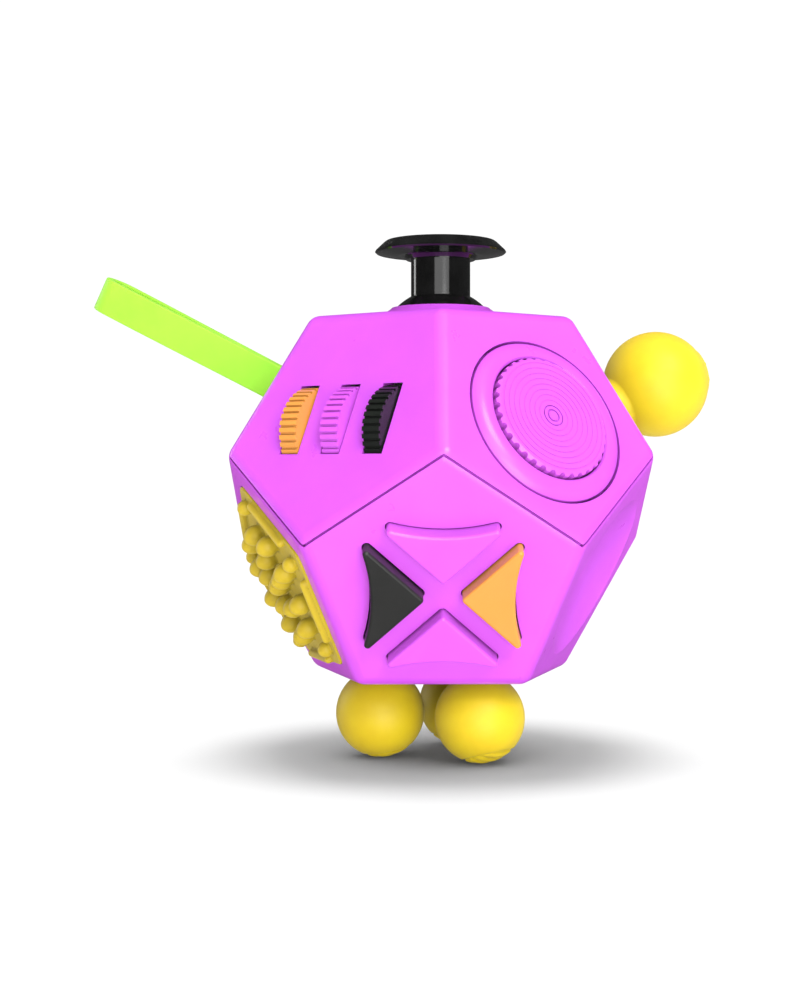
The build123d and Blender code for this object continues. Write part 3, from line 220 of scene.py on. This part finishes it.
def ranged(tree, value, low, high, from_low=0.3, from_high=0.7):
    """Maps a noise value to a range."""
    node = tree.nodes.new("ShaderNodeMapRange")
    node.inputs["From Min"].default_value = from_low
    node.inputs["From Max"].default_value = from_high
    node.inputs["To Min"].default_value = low
    node.inputs["To Max"].default_value = high
    tree.links.new(value, node.inputs["Value"])
    return node.outputs["Result"]


# Places of a mix node's colour sockets.
MIX_FIRST = 6
MIX_SECOND = 7
MIX_RESULT = 2


def blended(tree, factor, first, second):
    """A colour between two colours or sockets."""
    node = tree.nodes.new("ShaderNodeMix")
    node.data_type = "RGBA"
    tree.links.new(factor, node.inputs["Factor"])
    for value, place in ((first, MIX_FIRST), (second, MIX_SECOND)):
        if isinstance(value, bpy.types.NodeSocket):
            tree.links.new(value, node.inputs[place])
        else:
            node.inputs[place].default_value = (*value, 1)
    return node.outputs[MIX_RESULT]


def bumped(tree, shader, height, depth):
    """Gives the shader a bump of a depth in millimetres."""
    node = tree.nodes.new("ShaderNodeBump")
    node.inputs["Strength"].default_value = 1.0
    node.inputs["Distance"].default_value = depth * MM
    tree.links.new(height, node.inputs["Height"])
    tree.links.new(node.outputs["Normal"], shader.inputs["Normal"])


def scaled(colour, amount):
    """A colour made darker or lighter, and kept within range."""
    return tuple(min(1.0, c * amount) for c in colour)


# The grey that plastic and silicone show to the light they bounce.
BOUNCED = (0.2, 0.2, 0.2)


def unspilled(tree, paint):
    """Greys a colour where it lights its surroundings, so it doesn't tint them."""
    rays = tree.nodes.new("ShaderNodeLightPath")
    return blended(tree, rays.outputs["Is Diffuse Ray"], paint, BOUNCED)


def moulded_plastic(name, colour, roughness=0.32, grain=0.012, edge_highlight=1.12, coat=0.15):
    """Injection-moulded plastic: faint flow marks, fine grain, and a painted highlight that
    lightens its sharp edges.
    """
    material, tree, shader, where = node_tree(name)
    flow = noise(tree, where, 9.0, 4.0, 0.55)
    clouds = blended(tree, ranged(tree, flow, 0, 1), scaled(colour, 0.955), scaled(colour, 1.03))
    # Sharp edges are lightened toward a brighter copy of the colour: a painted highlight.
    edges = tree.nodes.new("ShaderNodeNewGeometry").outputs["Pointiness"]
    painted_edge_highlight = ranged(tree, edges, 0, 0.55, 0.52, 0.62)
    paint = blended(tree, painted_edge_highlight, clouds, scaled(colour, edge_highlight))
    tree.links.new(unspilled(tree, paint), shader.inputs["Base Color"])
    smudges = noise(tree, where, 5.0, 5.0, 0.6)
    tree.links.new(
        ranged(tree, smudges, roughness * 0.85, roughness * 1.25), shader.inputs["Roughness"]
    )
    shader.inputs["Coat Weight"].default_value = coat
    shader.inputs["Coat Roughness"].default_value = 0.12
    shader.inputs["IOR"].default_value = 1.49
    fine = noise(tree, where, 0.35, 2.0, 0.5)
    bumped(tree, shader, fine, grain)
    return material


def silicone(name, colour, hollow_shade, roughness=0.48, glow=0.15):
    """Soft silicone rubber: light soaks in, the skin is satin and slightly dusty, and its hollows
    are darkened by painted shade.
    """
    material, tree, shader, where = node_tree(name)
    mottle = noise(tree, where, 4.0, 4.0, 0.6)
    tint = blended(tree, ranged(tree, mottle, 0, 1), scaled(colour, 0.94), scaled(colour, 1.04))
    # Hollows and creases are darkened toward the second colour: painted shade.
    folds = tree.nodes.new("ShaderNodeNewGeometry").outputs["Pointiness"]
    painted_hollow_shade = ranged(tree, folds, 1, 0, 0.40, 0.50)
    paint = blended(tree, painted_hollow_shade, tint, hollow_shade)
    tree.links.new(unspilled(tree, paint), shader.inputs["Base Color"])
    dust = noise(tree, where, 0.8, 6.0, 0.65)
    tree.links.new(
        ranged(tree, dust, roughness * 0.88, roughness * 1.2), shader.inputs["Roughness"]
    )
    shader.inputs["Subsurface Weight"].default_value = glow
    shader.inputs["Subsurface Radius"].default_value = (1.0, 0.9, 0.4)
    shader.inputs["Subsurface Scale"].default_value = 1.2 * MM
    shader.inputs["Sheen Weight"].default_value = 0.12
    shader.inputs["IOR"].default_value = 1.43
    skin = noise(tree, where, 0.22, 3.0, 0.6)
    bumped(tree, shader, skin, 0.012)
    return material


def gloss_black(name):
    """Deep black polished plastic with hairline scratches and faint finger marks."""
    material, tree, shader, where = node_tree(name)
    marks = noise(tree, where, 3.5, 5.0, 0.6)
    tree.links.new(
        blended(tree, ranged(tree, marks, 0, 1), (0.004, 0.004, 0.004), (0.012, 0.012, 0.012)),
        shader.inputs["Base Color"],
    )
    tree.links.new(ranged(tree, marks, 0.06, 0.12), shader.inputs["Roughness"])
    shader.inputs["Coat Weight"].default_value = 0.2
    shader.inputs["Coat Roughness"].default_value = 0.04
    hairlines = noise(tree, where, 0.5, 2.0, 0.5, stretch=(1, 6, 6))
    bumped(tree, shader, hairlines, 0.004)
    return material


def metal(name, colour, roughness=0.3):
    """Turned and lightly oiled steel."""
    material, tree, shader, where = node_tree(name)
    shader.inputs["Metallic"].default_value = 1.0
    oil = noise(tree, where, 2.0, 4.0, 0.6)
    tree.links.new(
        blended(tree, ranged(tree, oil, 0, 1), scaled(colour, 0.8), colour),
        shader.inputs["Base Color"],
    )
    tree.links.new(
        ranged(tree, oil, roughness * 0.8, roughness * 1.3), shader.inputs["Roughness"]
    )
    turning = noise(tree, where, 0.3, 2.0, 0.5, stretch=(1, 1, 8))
    bumped(tree, shader, turning, 0.006)
    return material


PINK = (0.77, 0.11, 0.97)
ORANGE = (1.0, 0.36, 0.065)
YELLOW = (1.0, 0.70, 0.012)
PAD_YELLOW = (0.74, 0.53, 0.02)
LIME = (0.42, 1.0, 0.05)

# Each plastic's last number sets how much lighter its painted edge highlight is.
casing_pink = moulded_plastic("casing_pink", PINK)
orange_plastic = moulded_plastic("orange_plastic", ORANGE, 0.34)
dark_plastic = moulded_plastic("dark_grey_plastic", (0.022, 0.022, 0.021), 0.45, edge_highlight=1.5)
gear_black = moulded_plastic("gear_black", (0.007, 0.009, 0.007), 0.38, edge_highlight=2.0)
white_nylon = moulded_plastic("white_nylon", (0.80, 0.80, 0.76), 0.45)
# Each silicone's second colour is the painted shade in its hollows.
yellow_silicone = silicone("yellow_silicone", YELLOW, (0.62, 0.50, 0.01))
pad_silicone = silicone("pad_silicone", PAD_YELLOW, (0.30, 0.23, 0.01))
lime_silicone = silicone("lime_silicone", LIME, (0.2, 0.55, 0.02))
clear_silicone = silicone("clear_silicone", (0.7, 0.7, 0.7), (0.4, 0.4, 0.4))
black_gloss = gloss_black("joystick_black")
steel = metal("steel", (0.62, 0.62, 0.63))

SLOT_MATERIALS = {
    "casing_pink": casing_pink,
    "orange_plastic": orange_plastic,
    "black_plastic": gear_black,
    "dark_grey_plastic": dark_plastic,
    "yellow_silicone": yellow_silicone,
    "lime_silicone": lime_silicone,
    "white_nylon": white_nylon,
    "clear_silicone": clear_silicone,
    "steel": steel,
}
node_slots = {part["node"]: part["material_slot"] for part in frame["record"]["subparts"]}
NODE_MATERIALS = {"joystick_stick": black_gloss, "joystick_cap": black_gloss}
for node, piece in frame["nodes"].items():
    material = NODE_MATERIALS.get(node, SLOT_MATERIALS[node_slots[node]])
    piece.data.materials.clear()
    piece.data.materials.append(material)


def finished(piece, body, material, *replaced):
    """Gives a piece its material and body, and hides the CAD nodes it stands for."""
    piece.data.materials.clear()
    piece.data.materials.append(material)
    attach(piece, body)
    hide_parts(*replaced)
    return piece


# ------------------------------------------------------ squeeze ball and foot balls
# A point is on a ball, and not on its neck or plug, beyond this share of its radius.
BALL_SKIN = 0.9
PATCH_FADE = 2.5
PATCH_RIM = 3.0
RIM_SHARE = 0.7


def ridged(direction, reach, height, pitch, radius, middle):
    """A warp that raises slanting ridges, or cuts grooves, in a round patch on a ball.

    The patch is centred on a direction from the ball's middle and reaches an angle in
    degrees, and a rim runs round it. A negative height makes grooves.
    """
    aim = Vector(direction).normalized()
    across = aim.orthogonal().normalized()

    def warp(angle, ring_radius, ring_height):
        point = Vector(
            (ring_radius * cos(angle), ring_radius * sin(angle), ring_height - middle)
        )
        if point.length < BALL_SKIN * radius:
            return ring_radius, ring_height
        away = degrees(point.angle(aim))
        inside = min(1.0, max(0.0, (reach - away) / PATCH_FADE))
        along = point.dot(across)
        ridge = 0.5 + 0.5 * cos(2 * pi * along / pitch)
        rim = max(0.0, 1 - abs(away - reach) / PATCH_RIM)
        lift = height * max(inside * ridge**2, RIM_SHARE * rim)
        grown = point * (1 + lift / radius)
        return hypot(grown.x, grown.y), grown.z + middle

    return warp


BALL_DROP = 0.4
ball_seat = face_matrix(BALL_FACE, 0, -BALL_DROP)
SQUEEZE_RADIUS = 7.95
SQUEEZE_PATCH = (0.12, -0.2, 1)
SQUEEZE_REACH = 31
SQUEEZE_RIDGE = 0.3
SQUEEZE_PITCH = 1.7
SQUEEZE_RISE = 12.7
NECK_RADIUS = 4.0
NECK_MEETS = SQUEEZE_RISE - sqrt(SQUEEZE_RADIUS**2 - NECK_RADIUS**2)
neck_angle = -degrees(atan((SQUEEZE_RISE - NECK_MEETS) / NECK_RADIUS))
# From the plug behind the face, round the flange and up the neck to the ball.
squeeze_profile = (
    [(0, -4.4), (4.2, -4.4), (5.4, -2.6), (5.2, -2.4), (3.96, -2.4), (3.96, 0.02), (6.2, 0.02)]
    + [(6.45, 0.1), (6.5, 0.3), (6.42, 0.5), (5.9, 0.75), (5.2, 1.2), (4.65, 1.9), (4.3, 2.7)]
    + [(4.08, 3.6), (3.98, 4.5), (3.95, 5.2), (4.05, NECK_MEETS - 0.12)]
    + arc(0, SQUEEZE_RISE, SQUEEZE_RADIUS, neck_angle + 2, 90, 150)[:-1]
    + [(0, SQUEEZE_RISE + SQUEEZE_RADIUS)]
)
squeeze_ball = lathe(
    "squeeze_ball_soft",
    squeeze_profile,
    ball_seat,
    192,
    ridged(
        SQUEEZE_PATCH,
        SQUEEZE_REACH,
        SQUEEZE_RIDGE,
        SQUEEZE_PITCH,
        SQUEEZE_RADIUS,
        SQUEEZE_RISE,
    ),
)
finished(squeeze_ball, "squeeze_ball", yellow_silicone, "squeeze_ball")
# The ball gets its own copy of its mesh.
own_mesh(squeeze_ball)

FOOT_RADIUS = 6.4
FOOT_RISE = 5.7
FOOT_CIRCLE = 8.85
FOOT_TURN = -82.0
FOOT_REACH = 33
FOOT_GROOVE = -0.3
FOOT_PITCH = 1.5
foot_contact = degrees(atan(FOOT_RISE / sqrt(FOOT_RADIUS**2 - FOOT_RISE**2)))
# From the plug in the rotor to the ball's tip.
foot_profile = (
    [(0, -2.8), (1.9, -2.8), (2.08, -2.6), (2.08, -1.75), (1.95, -1.62), (1.48, -1.62)]
    + [(1.48, 0.01)]
    + arc(0, FOOT_RISE, FOOT_RADIUS, -foot_contact, 90, 140)[:-1]
    + [(0, FOOT_RISE + FOOT_RADIUS)]
)
feet = []
FEET = (
    ("left_foot_ball", 0, (0.20, -0.05, 1)),
    ("right_foot_ball", 1, (0.22, 0.20, 1)),
    ("rear_foot_ball", 2, (-0.2, 0.1, 1)),
)
for node, step, patch in FEET:
    angle = radians(90 - FOOT_TURN - 360 / len(FEET) * step)
    place = face_matrix(SPINNER_FACE, FOOT_CIRCLE * cos(angle), FOOT_CIRCLE * sin(angle))
    foot = lathe(
        node + "_soft",
        foot_profile,
        place,
        160,
        ridged(patch, FOOT_REACH, FOOT_GROOVE, FOOT_PITCH, FOOT_RADIUS, FOOT_RISE),
    )
    finished(foot, "spinner", yellow_silicone, node)
    feet.append(foot)


# ------------------------------------------------------------------ wrist strap
STRAP_UP = 3.5
STRAP_WIDTH = 5.2
STRAP_BAND = 1.3
STRAP_END = 34.3
STRAP_TIP = 3.0
STRAP_NECK = 1.35
STRAP_PIN_DEPTH = 4.2
STRAP_EYE = 2.0
STRAP_BORE = 1.06
STRAP_FORK = 8.0
STRAP_SLIT = 0.12
EYE_SHOULDER = 48


def eased(low, high, share):
    """Moves smoothly from low to high as share runs from 0 to 1."""
    return low + (high - low) * share * share * (3 - 2 * share)


def strap_side(start, start_half, tip_half, steps=40):
    """One long side of the loop, from its narrow start out to its round end."""
    points = []
    for k in range(steps + 1):
        share = k / steps
        points.append((eased(start_half, tip_half, share), start + (STRAP_END - start) * share))
    return points


outer_side = strap_side(0.0, STRAP_NECK, STRAP_TIP)
inner_side = strap_side(STRAP_FORK, STRAP_SLIT, STRAP_TIP - STRAP_BAND)
outer_loop = (
    arc(0, -STRAP_PIN_DEPTH, STRAP_EYE, -90, EYE_SHOULDER, 24)
    + outer_side
    + arc(0, STRAP_END, STRAP_TIP, 0, 180, 48)[1:-1]
    + [(-x, y) for x, y in reversed(outer_side)]
    + arc(0, -STRAP_PIN_DEPTH, STRAP_EYE, 180 - EYE_SHOULDER, 270, 24)[:-1]
)
inner_loop = (
    inner_side
    + arc(0, STRAP_END, STRAP_TIP - STRAP_BAND, 0, 180, 40)[1:-1]
    + [(-x, y) for x, y in reversed(inner_side)]
)
eye_loop = arc(0, -STRAP_PIN_DEPTH, STRAP_BORE, 0, 360, 40)[:-1]


def slab(name, outline, holes, half_width, place, edge=0.25):
    """A flat outline with holes, drawn in x and z and given a width along y."""
    curve = bpy.data.curves.new(name, "CURVE")
    curve.dimensions = "2D"
    curve.fill_mode = "BOTH"
    for loop in [outline] + holes:
        line = curve.splines.new("POLY")
        line.points.add(len(loop) - 1)
        for point, here in zip(line.points, loop):
            point.co = (here[0], here[1], 0, 1)
        line.use_cyclic_u = True
    curve.extrude = half_width - edge
    curve.bevel_depth = edge
    curve.bevel_resolution = 3
    curve.offset = -edge
    shape = added(name, curve)
    upright = Matrix.Rotation(radians(90), 4, "X")
    shape.matrix_world = place @ upright
    bpy.context.view_layer.update()
    graph = bpy.context.evaluated_depsgraph_get()
    mesh = bpy.data.meshes.new_from_object(shape.evaluated_get(graph))
    mesh.transform(place @ upright)
    bpy.data.objects.remove(shape)
    cleaned(mesh, weld=0.002)
    return added(name, mesh)


strap = slab(
    "wrist_strap_band",
    outer_loop,
    [inner_loop, eye_loop],
    STRAP_WIDTH / 2,
    face_matrix(STRAP_FACE, 0, STRAP_UP),
)
finished(strap, "strap", lime_silicone, "wrist_strap")


# ----------------------------------------------------------------- massage pad
PAD_INRADIUS = 12.5
PAD_RECESS = 1.0
PAD_PROUD = 0.3
PAD_DROP = 0.5
NUB_SIZE = (1.5, 3.1)
CORNER_NUB_SIZE = (1.15, 2.1)
NUB_RINGS = (
    (0.0, 1, NUB_SIZE),
    (4.1, 5, NUB_SIZE),
    (7.9, 10, NUB_SIZE),
    (12.0, 5, CORNER_NUB_SIZE),
)
BAR_LENGTH = 10.3
BAR_RADIUS = 0.6
BAR_INRADIUS = 11.7
BAR_SINK = 0.2
PEG_CIRCLE = 9.0
PEG_PROFILE = (
    [(0, -2.95), (1.7, -2.95), (1.85, -2.8), (1.85, -2.15), (1.24, -2.15)]
    + [(1.24, -0.6), (0, -0.6)]
)
PAD_CORNER = 2.0
PAD_GAP = 0.08
PAD_FLOOR_GAP = 0.03
PAD_VOXEL = 0.16
PAD_SMOOTHING = 3
NUB_BELLY = 0.4
NUB_BLUNTNESS = 1.15


def pentagon(circle_radius, corner_radius, steps=8):
    """A rounded pentagon with one corner up the slope."""
    corners = [
        (circle_radius * cos(radians(90 + 72 * k)), circle_radius * sin(radians(90 + 72 * k)))
        for k in range(5)
    ]
    return rounded(corners, corner_radius, steps)


def prism(name, outline, low, high, place):
    """An outline in x and y raised between two heights."""
    count = len(outline)
    vertices = [place @ Vector((x, y, low)) for x, y in outline]
    vertices += [place @ Vector((x, y, high)) for x, y in outline]
    faces = [tuple(range(count - 1, -1, -1)), tuple(range(count, 2 * count))]
    for k in range(count):
        after = (k + 1) % count
        faces.append((k, after, count + after, count + k))
    return build(name, vertices, faces)


def nub_profile(radius, height):
    """An egg: a waist at the base, a belly below the middle and a blunt tip."""
    belly = NUB_BELLY * height
    points = [(0, -0.5), (0.77 * radius, -0.5), (0.8 * radius, PAD_PROUD)]
    points.append((0.92 * radius, (PAD_PROUD + belly) / 2))
    steps = 14
    for k in range(steps):
        angle = radians(90 * k / steps)
        points.append((radius * cos(angle) ** NUB_BLUNTNESS, belly + (height - belly) * sin(angle)))
    points.append((0, height))
    return points


def joined(name, pieces):
    """Merges pieces into one object."""
    bpy.ops.object.select_all(action="DESELECT")
    for piece in pieces:
        piece.select_set(True)
    bpy.context.view_layer.objects.active = pieces[0]
    bpy.ops.object.join()
    pieces[0].name = name
    return pieces[0]


def fused(piece, voxel, smoothing):
    """Melts overlapping shells into one skin and softens the creases between them."""
    remesh = piece.modifiers.new("melt", "REMESH")
    remesh.mode = "VOXEL"
    remesh.voxel_size = voxel * MM
    soften = piece.modifiers.new("soften", "SMOOTH")
    soften.factor = 0.5
    soften.iterations = smoothing
    graph = bpy.context.evaluated_depsgraph_get()
    skin = bpy.data.meshes.new_from_object(piece.evaluated_get(graph))
    piece.modifiers.clear()
    piece.data = skin
    piece.data.shade_smooth()
    return piece


def pad_place(x=0.0, y=0.0):
    """The frame of a spot on the pad, measured from the pad's own middle."""
    return face_matrix(PAD_FACE, x, y - PAD_DROP)


def pad_bar(k):
    """A rounded bar along one side of the pad."""
    turned = pad_place() @ Matrix.Rotation(radians(72 * k), 4, "Z")
    rise = PAD_PROUD + BAR_RADIUS - BAR_SINK
    lying = turned @ Matrix.Translation((0, -BAR_INRADIUS, rise))
    lying = lying @ Matrix.Rotation(radians(90), 4, "Y")
    half = BAR_LENGTH / 2 - BAR_RADIUS
    capsule = arc(0, -half, BAR_RADIUS, -90, 0, 8) + arc(0, half, BAR_RADIUS, 0, 90, 8)
    capsule[0] = (0, capsule[0][1])
    capsule[-1] = (0, capsule[-1][1])
    return lathe(f"bar_{k}", capsule, lying, 24)


def pad_peg(k):
    """A peg behind the pad that holds it in the casing."""
    angle = radians(-90 + 72 * k)
    place = pad_place(PEG_CIRCLE * cos(angle), PEG_CIRCLE * sin(angle))
    return lathe(f"peg_{k}", PEG_PROFILE, place, 32)


def massage_pad():
    """The pad's plate, nubs, bars and pegs, melted into one skin."""
    parts = [
        prism(
            "pad_base",
            pentagon(PAD_INRADIUS / cos(radians(36)) - PAD_GAP, PAD_CORNER),
            -PAD_RECESS + PAD_FLOOR_GAP,
            PAD_PROUD,
            pad_place(),
        )
    ]
    for circle, count, size in NUB_RINGS:
        for k in range(count):
            angle = radians(90 + 360 * k / count)
            spot = pad_place(circle * cos(angle), circle * sin(angle))
            parts.append(lathe("nub", nub_profile(*size), spot, 32))
    for k in range(5):
        parts.append(pad_bar(k))
        parts.append(pad_peg(k))
    return fused(joined("massage_pad_soft", parts), PAD_VOXEL, PAD_SMOOTHING)


finished(massage_pad(), "casing", pad_silicone, "massage_pad")


def pressed_spring(node):
    """A copy of a spring as a piece of its own, in steel, on the casing."""
    source = frame["nodes"][node]
    mesh = source.data.copy()
    mesh.transform(source.matrix_world)
    piece = added(node + "_coil", mesh)
    finished(piece, "casing", steel, node)
    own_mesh(piece)


pressed_spring("clicker_spring")


# ------------------------------------------------------- camera, light and floor
CAMERA_DISTANCE = 0.24596
CAMERA_ELEVATION = 0.833
CAMERA_YAW = -0.753
CAMERA_LENS = 60.87
CAMERA_SHIFT = (-0.0436, -0.0041)


def aimed(thing, place, target):
    """Puts a camera or lamp at a place, looking at a target."""
    thing.location = place
    thing.rotation_euler = (target - place).to_track_quat("-Z", "Y").to_euler()


camera_data = bpy.data.cameras.new("camera")
camera_data.lens = CAMERA_LENS
camera_data.shift_x, camera_data.shift_y = CAMERA_SHIFT
camera_data.clip_start = 0.01
camera = added("camera", camera_data)
away = toward(CAMERA_YAW, CAMERA_ELEVATION) * CAMERA_DISTANCE
aimed(camera, body_centre + away, body_centre)
bpy.context.scene.camera = camera


def sun(name, azimuth, elevation, strength, spread):
    """A far lamp, as wide as its spread in degrees, seen toward an azimuth and elevation."""
    lamp = bpy.data.lights.new(name, "SUN")
    lamp.energy = strength
    lamp.angle = radians(spread)
    shape = added(name, lamp)
    aimed(shape, body_centre + toward(azimuth, elevation), body_centre)
    return shape


SOFTBOX_DISTANCE = 0.6


def softbox(name, azimuth, elevation, size, power):
    """A tall lamp near the toy, there for its shape in glossy reflections."""
    lamp = bpy.data.lights.new(name, "AREA")
    lamp.shape = "RECTANGLE"
    lamp.size, lamp.size_y = size
    lamp.energy = power
    shape = added(name, lamp)
    place = body_centre + toward(azimuth, elevation) * SOFTBOX_DISTANCE
    aimed(shape, place, body_centre)
    shape.visible_diffuse = False


key_sun = sun("key_sun", 28, 42, 1.9, 30)
top_sun = sun("top_sun", -20, 80, 1.2, 50)
fill_sun = sun("fill_sun", 14, -14, 1.5, 40)
floor_sun = sun("floor_sun", 0, 89, 1.35, 26)
core_sun = sun("core_sun", 0, 89, 1.35, 75)
top_sun.visible_glossy = False
softbox("front_softbox", 4, 12, (0.62, 0.34), 1.5)
softbox("left_softbox", -120, 12, (0.12, 0.40), 0.6)

SKY_LIGHT = 0.33
SKY_SEEN = 1.05
SKY_MIRRORED = 0.06


def studio_world():
    """White behind the toy, softer as a light, and dim in glossy reflections."""
    world = bpy.data.worlds.new("studio")
    world.use_nodes = True
    tree = world.node_tree
    rays = tree.nodes.new("ShaderNodeLightPath")
    mirrored = tree.nodes.new("ShaderNodeMix")
    mirrored.inputs["A"].default_value = SKY_LIGHT
    mirrored.inputs["B"].default_value = SKY_MIRRORED
    tree.links.new(rays.outputs["Is Glossy Ray"], mirrored.inputs["Factor"])
    seen = tree.nodes.new("ShaderNodeMix")
    seen.inputs["B"].default_value = SKY_SEEN
    tree.links.new(rays.outputs["Is Camera Ray"], seen.inputs["Factor"])
    tree.links.new(mirrored.outputs["Result"], seen.inputs["A"])
    background = tree.nodes["Background"]
    background.inputs["Color"].default_value = (1, 1, 1, 1)
    tree.links.new(seen.outputs["Result"], background.inputs["Strength"])
    bpy.context.scene.world = world


studio_world()
bpy.context.scene.view_settings.view_transform = "Standard"


FLOOR_HALF_WIDTH = 6.0
FLOOR_MIRRORED = (0.08, 0.08, 0.08)


def floor_sheet():
    """A wide pale sheet that lies flat under the toy, dark in glossy reflections."""
    signs = ((-1, -1), (1, -1), (1, 1), (-1, 1))
    corners = [Vector((x * FLOOR_HALF_WIDTH, y * FLOOR_HALF_WIDTH, 0)) for x, y in signs]
    sheet = build("floor_sheet", corners, [(0, 1, 2, 3)])
    material, tree, shader, where = node_tree("pale_floor")
    haze = noise(tree, where, 400.0)
    tree.links.new(
        blended(tree, ranged(tree, haze, 0, 1), (0.93, 0.93, 0.93), (0.95, 0.95, 0.95)),
        shader.inputs["Base Color"],
    )
    shader.inputs["Roughness"].default_value = 0.9
    shader.inputs["Specular IOR Level"].default_value = 0.1
    dark_mirror = tree.nodes.new("ShaderNodeBsdfDiffuse")
    dark_mirror.inputs["Color"].default_value = (*FLOOR_MIRRORED, 1)
    rays = tree.nodes.new("ShaderNodeLightPath")
    surface = tree.nodes.new("ShaderNodeMixShader")
    tree.links.new(rays.outputs["Is Glossy Ray"], surface.inputs["Fac"])
    tree.links.new(shader.outputs["BSDF"], surface.inputs[1])
    tree.links.new(dark_mirror.outputs["BSDF"], surface.inputs[2])
    tree.links.new(surface.outputs["Shader"], tree.nodes["Material Output"].inputs["Surface"])
    sheet.data.materials.append(material)
    return sheet


def linked(name, things, state):
    """A light-linking group that includes only these things, or excludes them."""
    group = bpy.data.collections.new(name)
    for thing in things:
        group.objects.link(thing)
    for member in group.collection_objects:
        member.light_linking.link_state = state
    return group


# Two suns light only the floor. The body shades one and the spinner shades the other,
# so the shadow is soft at its edge and darkest between the balls.
floor = floor_sheet()
all_but_floor = linked("all_but_floor", [floor], "EXCLUDE")
for lamp in (key_sun, top_sun, fill_sun):
    lamp.light_linking.receiver_collection = all_but_floor
fill_sun.light_linking.blocker_collection = all_but_floor
floor_only = linked("floor_only", [floor], "INCLUDE")
for lamp in (floor_sun, core_sun):
    lamp.light_linking.receiver_collection = floor_only
floor_sun.light_linking.blocker_collection = linked("body_only", [strap, squeeze_ball], "EXCLUDE")
spinner = [frame["nodes"]["spinner_rotor"], frame["nodes"]["spinner_cap"]]
core_sun.light_linking.blocker_collection = linked("spinner_only", feet + spinner, "INCLUDE")
